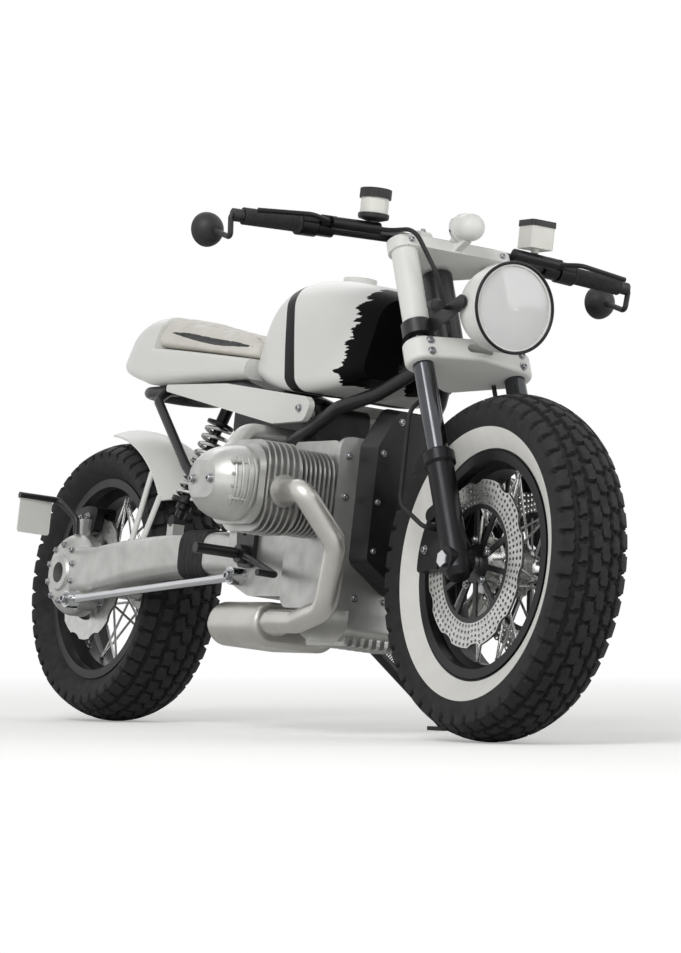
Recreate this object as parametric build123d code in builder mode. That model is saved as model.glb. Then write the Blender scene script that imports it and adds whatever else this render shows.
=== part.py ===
from build123d import *
import os
from math import asin, cos, degrees, radians, sin, tan

# Stance: the machine is modelled upright with the rear axle at X 0, then leaned onto its stand
WHEELBASE = 1490
RAKE = 27
FORK_OFFSET = 52
LEAN = 7.2
ORIGIN_X = 760
ORIGIN_Y = 118

# Fits between pieces
SEAT_GAP = 0.3
RUN_GAP = 0.1

# Wheels
FRONT_TYRE_RADIUS = 330
FRONT_TYRE_WIDTH = 146
FRONT_CROWN_DROP = 26
FRONT_RIM_WIDTH = 96
REAR_TYRE_RADIUS = 300
REAR_TYRE_WIDTH = 170
REAR_CROWN_DROP = 30
REAR_RIM_WIDTH = 122
RIM_FLANGE_RADIUS = 216
BEAD_RADIUS = 203
WELL_RADIUS = 191
WELL_HALF = 16
RIM_WALL = 5
FLANGE_WALL = 4
TYRE_WALL = 14
SPOKES_PER_SIDE = 16
SPOKE_RADIUS = 2.6
SPOKE_SWEEP = 34
HUB_FLANGE_RADIUS = 54
HUB_FLANGE_WALL = 7
HUB_BARREL_RADIUS = 38

# Front hub, axle and brakes
AXLE_RADIUS = 10
FRONT_HUB_HALF = 58
FRONT_FLANGE_HALF = 34
DISC_RADIUS = 160
DISC_INNER_RADIUS = 113
DISC_WALL = 5
DISC_WAVES = 10
WAVE_DEPTH = 7
WAVE_RADIUS = 42
CARRIER_ARMS = 10
CARRIER_ARM_WIDTH = 11
CARRIER_RING = 9
CALIPER_START = 116
CALIPER_SWEEP = 44
CALIPER_INNER = 98
CALIPER_OUTER = 172
CALIPER_LOW = 46
CALIPER_HIGH = 84
DISC_ROOM = 5

# Rear hub, final drive and brake
STUB_RADIUS = 30
STUB_BORE = 22
REAR_HUB_RIGHT = 91
REAR_HUB_LEFT = 66
REAR_FLANGE_HALF = 42
REAR_DISC_RADIUS = 135
REAR_DISC_Y = -84
REAR_CALIPER_START = 74
REAR_CALIPER_SWEEP = 42
REAR_CALIPER_INNER = 98
REAR_CALIPER_OUTER = 150
REAR_CALIPER_INNER_Y = -62
REAR_CALIPER_OUTER_Y = -108
REAR_LUG_WALL = 9
DRIVE_RADIUS = 88
DRIVE_INNER_Y = -98
DRIVE_OUTER_Y = -166
DRIVE_CAP_RADIUS = 40

# Fork and clamps, in the fork's own frame: axle at 0, Z up the tubes, X forward
FORK_HALF = 105
TUBE_RADIUS = 20.5
TUBE_FOOT = 130
TUBE_TOP = 706
SLIDER_RADIUS = 26
SLIDER_FOOT = -36
SLIDER_TOP = 232
COLLAR_RADIUS = 31
COLLAR_HEIGHT = 26
AXLE_LUG_RADIUS = 24
AXLE_LUG_INNER = 78
AXLE_LUG_OUTER = 131
LOWER_CLAMP_FOOT = 424
LOWER_CLAMP_HEIGHT = 48
UPPER_CLAMP_FOOT = 676
UPPER_CLAMP_HEIGHT = 24
CLAMP_EYE_RADIUS = 35
CLAMP_NOSE_RADIUS = 44
CLAMP_NOSE_X = 8
STEM_RADIUS = 15
STEM_BOSS_RADIUS = 32
HEAD_TUBE_RADIUS = 31
HEAD_TUBE_ROOM = 7

# Handlebar and what it carries, in the fork's frame
BAR_RADIUS = 12.7
BAR_X = -24
BAR_Z = 726
BAR_BEND_Y = 120
BAR_END_X = -44
BAR_END_Y = 445
BAR_END_Z = 722
RISER_Y = 42
RISER_WIDTH = 26
RISER_RADIUS = 21
GRIP_RADIUS = 17
GRIP_START = 316
GRIP_LENGTH = 122
MIRROR_RADIUS = 34
MIRROR_BACK = 83
MIRROR_RISE = 16
MIRROR_OUT = 14
MIRROR_DROP = 40
STALK_RADIUS = 5.5
PERCH_Y = 262
PERCH_WIDTH = 34
PERCH_RADIUS = 19
LEVER_RADIUS = 5
LEVER_REACH = 46
CYLINDER_REACH = 105
RESERVOIR_RADIUS = 27
RESERVOIR_HEIGHT = 44
RESERVOIR_RISE = 20
RESERVOIR_CAP = 12

# Headlight, in the fork's frame; it points straight ahead
LAMP_X = 171
LAMP_Z = 472
LAMP_RADIUS = 84
LAMP_DEPTH = 118
LAMP_WALL = 4
LENS_BULGE = 9
EAR_Y = 88
EAR_WALL = 6
RING_Z = 484
RING_HEIGHT = 30
RING_RADIUS = 31
SLEEVE_RADIUS = 26
POD_X = 84
POD_Z = 704
POD_RADIUS = 27
POD_LENGTH = 58
INDICATOR_Y = 122
INDICATOR_RADIUS = 13

# Engine
CRANK_Z = 455
CASE_FRONT = 1075
CASE_REAR = 885
CASE_HALF = 128
CASE_TOP = 566
CASE_FOOT = 236
CASE_FLANGE = 14
CASE_LIP = 8
GEARBOX_REAR = 600
GEARBOX_HALF = 95
GEARBOX_TOP = 540
COVER_FRONT = 1128
COVER_HALF = 92
SUMP_FOOT = 168
SUMP_HALF = 84
RIGHT_CYLINDER_X = 1000
LEFT_CYLINDER_X = 1030
BARREL_RADIUS = 60
BARREL_LENGTH = 84
HEAD_LENGTH = 84
COVER_LENGTH = 88
FIN_X = 152
FIN_Z = 168
FIN_CORNER = 52
FIN_PITCH = 10.5
FIN_WALL = 4
HEAD_X = 146
HEAD_Z = 132
HEAD_FIN_X = 174
HEAD_FIN_Z = 180
VALVE_X = 186
VALVE_Z = 156
PIPE_RADIUS = 23
INTAKE_RADIUS = 25
INTAKE_ENTRY_Z = 577
MUFFLER_RADIUS = 45
MUFFLER_FRONT = 800
MUFFLER_LENGTH = 205
MUFFLER_SPAN = 200
MUFFLER_Y = -30
MUFFLER_Z = 206

# Frame tubes
RAIL_RADIUS = 14
BACKBONE_RADIUS = 22
SEAT_TUBE_RADIUS = 12
SEAT_TUBE_Y = 75
SEAT_TUBE_Z = 697
SEAT_TUBE_REAR = 110
STRUT_RADIUS = 10

# Bodywork
TUNNEL_HALF = 30
TUNNEL_TOP = 792
TUNNEL_REAR = 606
AIRBOX_FRONT = 850
AIRBOX_REAR = 500
AIRBOX_TOP = 668
AIRBOX_HALF = 58
PANEL_INNER = 127
PANEL_WALL = 13
FENDER_ROOM = 24
FENDER_HALF = 80
FENDER_DROP = 20
FENDER_WALL = 4
FENDER_START = 32
FENDER_SWEEP = 54
STAY_RADIUS = 6

# Foot controls and side stand
PEG_X = 690
PEG_Z = 345
PEG_RADIUS = 11
PEG_LENGTH = 92
PEG_ROOT_RADIUS = 9
PEG_ROOT_LENGTH = 24
FOOT_PLATE_WALL = 10
STAND_X = 800
STAND_Y = 125
STAND_Z = 205
STAND_FOOT_X = 870
STAND_FOOT_Y = 300
STAND_LEG_RADIUS = 11
STAND_EYE_RADIUS = 16
STAND_PIN_RADIUS = 8
STAND_EYE_LENGTH = 20
FOOT_PAD_WALL = 8


def crown_radius(width, drop):
    """Radius of the arc that falls by drop from the middle of a tread to its shoulders."""
    return ((width / 2) ** 2 + drop ** 2) / (2 * drop)


def axle_height(radius, width, drop):
    """Height of an upright axle whose leaned tyre just meets the floor."""
    crown = crown_radius(width, drop)
    return radius - crown + crown / cos(radians(LEAN))


FRONT_AXLE_Z = axle_height(FRONT_TYRE_RADIUS, FRONT_TYRE_WIDTH, FRONT_CROWN_DROP)
REAR_AXLE_Z = axle_height(REAR_TYRE_RADIUS, REAR_TYRE_WIDTH, REAR_CROWN_DROP)
FENDER_RADIUS = REAR_TYRE_RADIUS + FENDER_ROOM
AHEAD = (cos(radians(RAKE)), 0, -sin(radians(RAKE)))
UPWARD = (sin(radians(RAKE)), 0, cos(radians(RAKE)))
FLOOR_UP = (0, -sin(radians(LEAN)), cos(radians(LEAN)))
FORK = Location((WHEELBASE, 0, FRONT_AXLE_Z), (0, -RAKE, 0))
PARKED = Location((-ORIGIN_X, -ORIGIN_Y, 0), (-LEAN, 0, 0))
REAR_AXLE = Location((0, 0, REAR_AXLE_Z))
UPRIGHT = Location((0, 0, 0))

os.makedirs("parts", exist_ok=True)


def place(piece, label, frame):
    """Set a finished piece in its frame on the parked machine and write it."""
    placed = PARKED * frame * piece
    placed.label = label
    export_step(placed, f"parts/{label}.step")


def across(x, y=0, z=0):
    """Plane across the machine at x, its own axes to the left and up."""
    return Plane(origin=(x, y, z), x_dir=(0, 1, 0), z_dir=(1, 0, 0))


def tube(route, bend, radius):
    """Round tube along straight runs joined by arcs."""
    with BuildPart() as made:
        with BuildLine() as path:
            FilletPolyline(*route, radius=bend)
        with BuildSketch(Plane(origin=path.line @ 0, z_dir=path.line % 0)):
            Circle(radius)
        sweep(path=path.line)
    return made.part


def rod(start, end, radius):
    """Straight round bar between two points."""
    run = Vector(*end) - Vector(*start)
    with BuildPart() as made:
        with BuildSketch(Plane(origin=start, z_dir=run)):
            Circle(radius)
        extrude(amount=run.length)
    return made.part


def body_section(x, low, high, half_low, half_high, r_low, r_high):
    """Rounded trapezium across the machine at x, one slice of a bodywork piece."""
    with BuildSketch(across(x)) as made:
        with BuildLine():
            FilletPolyline(
                (-half_low, low),
                (half_low, low),
                (half_high, high),
                (-half_high, high),
                radius=(r_low, r_low, r_high, r_high),
                close=True,
            )
        make_face()
    return made.sketch


def body_loft(table):
    """Smooth body through the slices of a table."""
    with BuildPart() as made:
        loft([body_section(*row) for row in table])
    return made.part


def sector(inner, outer, start, sweep):
    """Flat face between two radii over an angle counted from forward to up."""
    with BuildSketch() as made:
        with BuildLine():
            CenterArc((0, 0), outer, start, sweep)
            CenterArc((0, 0), inner, start, sweep)
            for angle in (start, start + sweep):
                Line(
                    (inner * cos(radians(angle)), inner * sin(radians(angle))),
                    (outer * cos(radians(angle)), outer * sin(radians(angle))),
                )
        make_face()
    return made.sketch


def make_tyre(radius, width, drop, rim_width):
    """Hollow tyre about the Y axis: round crown, bulging walls, beads between the rim's flanges."""
    half = width / 2
    shoulder = radius - drop
    bead = rim_width / 2 - FLANGE_WALL - SEAT_GAP
    foot = BEAD_RADIUS + SEAT_GAP
    lip = RIM_FLANGE_RADIUS + SEAT_GAP
    inner_half = half - TYRE_WALL
    inner_shoulder = shoulder - TYRE_WALL / 2
    with BuildPart() as made:
        with BuildSketch(Plane.YZ):
            with BuildLine():
                ThreePointArc((-half, shoulder), (0, radius), (half, shoulder))
                for side in (1, -1):
                    ThreePointArc(
                        (side * half, shoulder),
                        (side * (half * 0.7 + bead * 0.3 + 2), (shoulder + lip) / 2),
                        (side * bead, lip),
                    )
                    Line((side * bead, lip), (side * bead, foot))
                    Line((side * bead, foot), (side * (bead - TYRE_WALL), foot))
                    Line((side * (bead - TYRE_WALL), foot), (side * inner_half, inner_shoulder))
                ThreePointArc(
                    (-inner_half, inner_shoulder),
                    (0, radius - TYRE_WALL),
                    (inner_half, inner_shoulder),
                )
            make_face()
        revolve(axis=Axis.Y)
    return made.part


def make_rim(width):
    """Drop-centre rim about the Y axis."""
    half = width / 2
    flange = half - FLANGE_WALL
    shelf = flange - TYRE_WALL - 4
    outer = [
        (half, RIM_FLANGE_RADIUS),
        (flange, RIM_FLANGE_RADIUS),
        (flange, BEAD_RADIUS),
        (shelf, BEAD_RADIUS),
        (WELL_HALF, WELL_RADIUS),
    ]
    inner = [
        (WELL_HALF - 2, WELL_RADIUS - RIM_WALL),
        (shelf - 2, BEAD_RADIUS - RIM_WALL),
        (half, BEAD_RADIUS - RIM_WALL),
    ]
    mirrored_outer = [(-y, r) for y, r in reversed(outer)]
    mirrored_inner = [(-y, r) for y, r in reversed(inner)]
    with BuildPart() as made:
        with BuildSketch(Plane.YZ):
            with BuildLine():
                Polyline(*outer, *mirrored_outer, *mirrored_inner, *inner, close=True)
            make_face()
        revolve(axis=Axis.Y)
    return made.part


def make_spokes(right, left, flange_half, bore):
    """Hub from Y -right to Y left, with its spokes laced out to the rim's well."""
    reach = WELL_RADIUS - RIM_WALL - SEAT_GAP
    spokes = []
    for side in (1, -1):
        for count in range(SPOKES_PER_SIDE):
            lean = SPOKE_SWEEP if count % 2 else -SPOKE_SWEEP
            turn = radians(360 / SPOKES_PER_SIDE * (count + side / 4))
            end_turn = turn + radians(lean)
            hub_radius = HUB_FLANGE_RADIUS - SPOKE_RADIUS * 2
            start = (hub_radius * cos(turn), side * flange_half, hub_radius * sin(turn))
            end = (WELL_RADIUS * cos(end_turn), side * WELL_HALF / 2, WELL_RADIUS * sin(end_turn))
            spokes.append(rod(start, end, SPOKE_RADIUS))
    with BuildPart() as made:
        add(spokes)
        with BuildSketch(Plane.XZ):
            Circle(reach)
        extrude(amount=right + left, both=True, mode=Mode.INTERSECT)
        with BuildSketch(Plane.YZ):
            with Locations(((left - right) / 2, HUB_BARREL_RADIUS / 2)):
                Rectangle(left + right, HUB_BARREL_RADIUS)
            with Locations((flange_half, HUB_FLANGE_RADIUS / 2), (-flange_half, HUB_FLANGE_RADIUS / 2)):
                Rectangle(HUB_FLANGE_WALL, HUB_FLANGE_RADIUS)
        revolve(axis=Axis.Y)
        with BuildSketch(Plane.XZ):
            Circle(bore)
        extrude(amount=right + left, both=True, mode=Mode.SUBTRACT)
    return made.part


def make_disc(radius, inner, middle):
    """Wave-edged brake disc about the Y axis, its middle at Y middle."""
    with BuildPart() as made:
        with BuildSketch(Plane.XZ.offset(-middle)):
            Circle(radius)
            with PolarLocations(radius + WAVE_RADIUS - WAVE_DEPTH, DISC_WAVES):
                Circle(WAVE_RADIUS, mode=Mode.SUBTRACT)
            Circle(inner, mode=Mode.SUBTRACT)
        extrude(amount=DISC_WALL / 2, both=True)
    return made.part


# Front wheel
DISC_Y = FRONT_HUB_HALF + SEAT_GAP + DISC_WALL / 2
place(make_tyre(FRONT_TYRE_RADIUS, FRONT_TYRE_WIDTH, FRONT_CROWN_DROP, FRONT_RIM_WIDTH), "tyre_front", FORK)
place(make_rim(FRONT_RIM_WIDTH), "rim_front", FORK)
place(
    make_spokes(FRONT_HUB_HALF, FRONT_HUB_HALF, FRONT_FLANGE_HALF, AXLE_RADIUS + RUN_GAP),
    "spokes_front",
    FORK,
)

front_disc = make_disc(DISC_RADIUS, DISC_INNER_RADIUS, DISC_Y)
with BuildPart() as discs_front:
    add(front_disc)
    mirror(front_disc, about=Plane.XZ)
place(discs_front.part, "discs_front", FORK)

with BuildPart() as disc_carriers:
    with BuildSketch(Plane.XZ.offset(-DISC_Y)):
        Circle(HUB_BARREL_RADIUS)
        Circle(DISC_INNER_RADIUS - SEAT_GAP)
        Circle(DISC_INNER_RADIUS - CARRIER_RING, mode=Mode.SUBTRACT)
        Circle(HUB_BARREL_RADIUS)
        with PolarLocations(DISC_INNER_RADIUS / 2, CARRIER_ARMS):
            Rectangle(DISC_INNER_RADIUS - CARRIER_RING, CARRIER_ARM_WIDTH)
        Circle(AXLE_RADIUS + DISC_ROOM, mode=Mode.SUBTRACT)
    extrude(amount=DISC_WALL / 2, both=True)
    mirror(about=Plane.XZ)
place(disc_carriers.part, "disc_carriers", FORK)

# Rear wheel
place(make_tyre(REAR_TYRE_RADIUS, REAR_TYRE_WIDTH, REAR_CROWN_DROP, REAR_RIM_WIDTH), "tyre_rear", REAR_AXLE)
place(make_rim(REAR_RIM_WIDTH), "rim_rear", REAR_AXLE)
place(
    make_spokes(REAR_HUB_RIGHT, REAR_HUB_LEFT, REAR_FLANGE_HALF, STUB_RADIUS + RUN_GAP),
    "spokes_rear",
    REAR_AXLE,
)

with BuildPart() as disc_rear:
    with BuildSketch(Plane.XZ.offset(-REAR_DISC_Y)):
        Circle(REAR_DISC_RADIUS)
        with PolarLocations(REAR_DISC_RADIUS + WAVE_RADIUS - WAVE_DEPTH, DISC_WAVES):
            Circle(WAVE_RADIUS, mode=Mode.SUBTRACT)
        Circle(REAR_DISC_RADIUS - 42, mode=Mode.SUBTRACT)
        with PolarLocations(REAR_DISC_RADIUS / 2, CARRIER_ARMS // 2):
            Rectangle(REAR_DISC_RADIUS - 40, CARRIER_ARM_WIDTH * 2)
        Circle(HUB_BARREL_RADIUS + 12)
        Circle(HUB_BARREL_RADIUS + RUN_GAP, mode=Mode.SUBTRACT)
    extrude(amount=DISC_WALL / 2, both=True)
place(disc_rear.part, "disc_rear", REAR_AXLE)

# Front axle with its spacers
with BuildPart() as front_axle:
    with BuildSketch(Plane.XZ):
        Circle(AXLE_RADIUS)
    extrude(amount=AXLE_LUG_OUTER + 8, both=True)
    for side in (1, -1):
        with BuildSketch(Plane.XZ.offset(-side * (FRONT_HUB_HALF + DISC_WALL + 5 * SEAT_GAP))):
            Circle(AXLE_RADIUS + 5)
        extrude(amount=-side * (AXLE_LUG_INNER - FRONT_HUB_HALF - DISC_WALL - 5 * SEAT_GAP))
        with BuildSketch(Plane.XZ.offset(-side * (AXLE_LUG_OUTER + SEAT_GAP))):
            RegularPolygon(AXLE_RADIUS + 6, 6)
        extrude(amount=-side * 8)
place(front_axle.part, "front_axle", FORK)

# Fork legs
with BuildPart() as fork_tubes:
    with BuildSketch(Plane.XY.offset(TUBE_FOOT)):
        with Locations((0, FORK_HALF), (0, -FORK_HALF)):
            Circle(TUBE_RADIUS)
    extrude(amount=TUBE_TOP - TUBE_FOOT)
place(fork_tubes.part, "fork_tubes", FORK)

with BuildPart() as fork_slider:
    with BuildSketch(Plane.XZ.offset(-FORK_HALF)):
        with BuildLine():
            Polyline(
                (0, SLIDER_FOOT),
                (SLIDER_RADIUS - 6, SLIDER_FOOT),
                (SLIDER_RADIUS, SLIDER_FOOT + 14),
                (SLIDER_RADIUS, SLIDER_TOP - COLLAR_HEIGHT - 6),
                (COLLAR_RADIUS, SLIDER_TOP - COLLAR_HEIGHT),
                (COLLAR_RADIUS, SLIDER_TOP - 5),
                (COLLAR_RADIUS - 5, SLIDER_TOP),
                (0, SLIDER_TOP),
                close=True,
            )
        make_face()
    revolve(axis=Axis((0, FORK_HALF, 0), (0, 0, 1)))
    with BuildSketch(Plane.XZ.offset(-AXLE_LUG_INNER)):
        Circle(AXLE_LUG_RADIUS)
    extrude(amount=-(AXLE_LUG_OUTER - AXLE_LUG_INNER))
    with BuildSketch(Plane.XZ.offset(-CALIPER_HIGH - SEAT_GAP)):
        with Locations((-42, 56), (-42, 132)):
            SlotOverall(72, 26)
    extrude(amount=-18)
    with BuildSketch(Plane.XZ.offset(-AXLE_LUG_INNER)):
        Circle(AXLE_RADIUS + RUN_GAP)
    extrude(amount=-(AXLE_LUG_OUTER - AXLE_LUG_INNER), mode=Mode.SUBTRACT)
    with BuildSketch(Plane.XY.offset(TUBE_FOOT)):
        with Locations((0, FORK_HALF)):
            Circle(TUBE_RADIUS + RUN_GAP)
    extrude(amount=SLIDER_TOP - TUBE_FOOT, mode=Mode.SUBTRACT)
with BuildPart() as fork_sliders:
    add(fork_slider.part)
    mirror(fork_slider.part, about=Plane.XZ)
place(fork_sliders.part, "fork_sliders", FORK)

# Brake calipers that straddle the front discs behind the legs
with BuildPart() as caliper:
    with BuildSketch(Plane.XZ.offset(-CALIPER_LOW)):
        add(sector(CALIPER_INNER, CALIPER_OUTER, CALIPER_START, CALIPER_SWEEP))
    extrude(amount=-(CALIPER_HIGH - CALIPER_LOW))
    fillet(caliper.edges().filter_by(GeomType.LINE).filter_by(Axis.Y), 9)
    with BuildSketch(Plane.XZ.offset(-DISC_Y)):
        Circle(DISC_RADIUS + DISC_ROOM)
    extrude(amount=DISC_WALL / 2 + DISC_ROOM / 2, both=True, mode=Mode.SUBTRACT)
with BuildPart() as calipers:
    add(caliper.part)
    mirror(caliper.part, about=Plane.XZ)
place(calipers.part, "calipers", FORK)

# Lower clamp: one swept bridge with the steering stem standing in it
with BuildPart() as lower_clamp:
    with BuildSketch(Plane.XY.offset(LOWER_CLAMP_FOOT)):
        with Locations((0, FORK_HALF), (0, -FORK_HALF)):
            Circle(CLAMP_EYE_RADIUS)
        with Locations((-FORK_OFFSET, 0)):
            Circle(STEM_BOSS_RADIUS)
        with Locations((CLAMP_NOSE_X, 0)):
            Circle(CLAMP_NOSE_RADIUS)
        make_hull()
    extrude(amount=LOWER_CLAMP_HEIGHT)
    fillet(lower_clamp.edges().filter_by(GeomType.LINE, reverse=True).group_by(Axis.Z)[0], 8)
    fillet(lower_clamp.edges().filter_by(GeomType.LINE, reverse=True).group_by(Axis.Z)[-1], 8)
    with BuildSketch(Plane.XY.offset(LOWER_CLAMP_FOOT)):
        with Locations((0, FORK_HALF), (0, -FORK_HALF)):
            Circle(TUBE_RADIUS + RUN_GAP)
    extrude(amount=LOWER_CLAMP_HEIGHT, mode=Mode.SUBTRACT)
    with BuildSketch(across(CLAMP_NOSE_X, 0, LOWER_CLAMP_FOOT + LOWER_CLAMP_HEIGHT / 2)):
        SlotOverall(58, 18)
    extrude(amount=CLAMP_NOSE_RADIUS + 10, mode=Mode.SUBTRACT)
    with BuildSketch(Plane.XY.offset(LOWER_CLAMP_FOOT + LOWER_CLAMP_HEIGHT / 2)):
        with Locations((-FORK_OFFSET, 0)):
            Circle(STEM_RADIUS)
    extrude(amount=UPPER_CLAMP_FOOT + UPPER_CLAMP_HEIGHT - LOWER_CLAMP_FOOT - LOWER_CLAMP_HEIGHT / 2)
place(lower_clamp.part, "lower_clamp", FORK)

# Upper clamp with the two bar risers
UPPER_CLAMP_TOP = UPPER_CLAMP_FOOT + UPPER_CLAMP_HEIGHT
with BuildPart() as upper_clamp:
    with BuildSketch(Plane.XY.offset(UPPER_CLAMP_FOOT)):
        with Locations((0, FORK_HALF), (0, -FORK_HALF)):
            Circle(CLAMP_EYE_RADIUS - 3)
        with Locations((-FORK_OFFSET, 0)):
            Circle(STEM_BOSS_RADIUS - 4)
        make_hull()
    extrude(amount=UPPER_CLAMP_HEIGHT)
    with BuildSketch(Plane.XY.offset(UPPER_CLAMP_FOOT)):
        with Locations((0, FORK_HALF), (0, -FORK_HALF)):
            Circle(TUBE_RADIUS + RUN_GAP)
        with Locations((-FORK_OFFSET, 0)):
            Circle(STEM_RADIUS + RUN_GAP)
    extrude(amount=UPPER_CLAMP_HEIGHT, mode=Mode.SUBTRACT)
    for side in (1, -1):
        with BuildSketch(Plane.XZ.offset(-side * RISER_Y)):
            with Locations((BAR_X, (UPPER_CLAMP_TOP + BAR_Z) / 2 - 4)):
                Rectangle(RISER_RADIUS * 2, BAR_Z - UPPER_CLAMP_TOP + 8)
            with Locations((BAR_X, BAR_Z)):
                Circle(RISER_RADIUS)
        extrude(amount=RISER_WIDTH / 2, both=True)
    with BuildSketch(Plane.XZ):
        with Locations((BAR_X, BAR_Z)):
            Circle(BAR_RADIUS + RUN_GAP)
    extrude(amount=RISER_Y + RISER_WIDTH, both=True, mode=Mode.SUBTRACT)
place(upper_clamp.part, "upper_clamp", FORK)

# Handlebar, swept slightly back to its ends
place(
    tube(
        [
            (BAR_END_X, -BAR_END_Y, BAR_END_Z),
            (BAR_X, -BAR_BEND_Y, BAR_Z),
            (BAR_X, BAR_BEND_Y, BAR_Z),
            (BAR_END_X, BAR_END_Y, BAR_END_Z),
        ],
        BAR_BEND_Y,
        BAR_RADIUS,
    ),
    "handlebar",
    FORK,
)
BAR_RUN = Vector(BAR_END_X - BAR_X, BAR_END_Y - BAR_BEND_Y, BAR_END_Z - BAR_Z)


def on_bar(y):
    """Plane across the left half of the bar, its axis pointing outwards, at distance y out."""
    share = (y - BAR_BEND_Y) / (BAR_END_Y - BAR_BEND_Y)
    return Plane(
        origin=Vector(BAR_X, BAR_BEND_Y, BAR_Z) + BAR_RUN * share, x_dir=(1, 0, 0), z_dir=BAR_RUN
    )


with BuildPart() as grip:
    with BuildSketch(on_bar(GRIP_START)):
        Circle(GRIP_RADIUS)
        Circle(BAR_RADIUS + RUN_GAP, mode=Mode.SUBTRACT)
    extrude(amount=GRIP_LENGTH)
    with BuildSketch(on_bar(GRIP_START)):
        Circle(GRIP_RADIUS + 5)
        Circle(BAR_RADIUS + RUN_GAP, mode=Mode.SUBTRACT)
    extrude(amount=6)
with BuildPart() as grips:
    add(grip.part)
    mirror(grip.part, about=Plane.XZ)
place(grips.part, "grips", FORK)

# Bar-end mirrors: a stalk that drops from the bar's end and a domed bowl behind it
BAR_TIP = Vector(BAR_END_X, BAR_END_Y, BAR_END_Z)
MIRROR_AT = BAR_TIP + Vector(-MIRROR_BACK, MIRROR_OUT, MIRROR_RISE)
stalk = tube(
    [
        tuple(BAR_TIP + Vector(0, 4, 0)),
        tuple(BAR_TIP + Vector(0, MIRROR_OUT + 4, 0)),
        tuple(BAR_TIP + Vector(-MIRROR_DROP / 2, MIRROR_OUT, -MIRROR_DROP)),
        tuple(MIRROR_AT),
    ],
    8,
    STALK_RADIUS,
)
with BuildPart() as mirror_left:
    add(stalk)
    with Locations(Plane(origin=MIRROR_AT, z_dir=AHEAD)):
        Sphere(MIRROR_RADIUS, arc_size1=0, arc_size2=90)
    with BuildSketch(on_bar(BAR_END_Y).offset(SEAT_GAP)):
        Circle(BAR_RADIUS)
    extrude(amount=MIRROR_OUT)
with BuildPart() as mirrors:
    add(mirror_left.part)
    mirror(mirror_left.part, about=Plane.XZ)
place(mirrors.part, "mirrors", FORK)

# Lever perches with their master cylinders, levers and switch blocks
PERCH_ARM = Vector(LEVER_REACH - 18, 0, -6)
lever = tube(
    [
        tuple(on_bar(PERCH_Y).origin + PERCH_ARM),
        tuple(on_bar(PERCH_Y + 50).origin + Vector(LEVER_REACH, 0, -6)),
        tuple(on_bar(GRIP_START + GRIP_LENGTH - 12).origin + Vector(LEVER_REACH - 8, 0, -8)),
    ],
    60,
    LEVER_RADIUS,
)
with BuildPart() as perch:
    with BuildSketch(on_bar(PERCH_Y).offset(-PERCH_WIDTH / 2)):
        Circle(PERCH_RADIUS)
        with Locations((PERCH_ARM.X / 2, 0)):
            Rectangle(PERCH_ARM.X, PERCH_RADIUS)
        Circle(BAR_RADIUS + RUN_GAP, mode=Mode.SUBTRACT)
    extrude(amount=PERCH_WIDTH)
    add(rod(on_bar(PERCH_Y - CYLINDER_REACH).origin + PERCH_ARM, on_bar(PERCH_Y).origin + PERCH_ARM, 12))
    add(lever)
    with BuildSketch(on_bar(GRIP_START - 34)):
        Circle(PERCH_RADIUS + 3)
        Circle(BAR_RADIUS + RUN_GAP, mode=Mode.SUBTRACT)
    extrude(amount=34 - SEAT_GAP)
with BuildPart() as hand_controls:
    add(perch.part)
    mirror(perch.part, about=Plane.XZ)
place(hand_controls.part, "hand_controls", FORK)

# Fluid reservoirs, each on a post from its master cylinder, upright on the machine
with BuildPart() as reservoirs:
    for side, reach, corner in ((-1, PERCH_Y - 90, RESERVOIR_RADIUS - 1), (1, PERCH_Y - 56, 6)):
        seat = on_bar(reach).origin + PERCH_ARM
        post = Plane(origin=(seat.X, side * seat.Y, seat.Z), x_dir=(0, 1, 0), z_dir=UPWARD)
        with BuildSketch(post.offset(12 + SEAT_GAP)):
            Circle(8)
        extrude(amount=RESERVOIR_RISE)
        with BuildSketch(post.offset(RESERVOIR_RISE)):
            RectangleRounded(RESERVOIR_RADIUS * 2, RESERVOIR_RADIUS * 2, corner)
        extrude(amount=RESERVOIR_HEIGHT)
        with BuildSketch(post.offset(RESERVOIR_RISE + RESERVOIR_HEIGHT)):
            RectangleRounded(RESERVOIR_RADIUS * 2 + 4, RESERVOIR_RADIUS * 2 + 4, corner + 2)
        extrude(amount=RESERVOIR_CAP)
place(reservoirs.part, "reservoirs", FORK)

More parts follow.
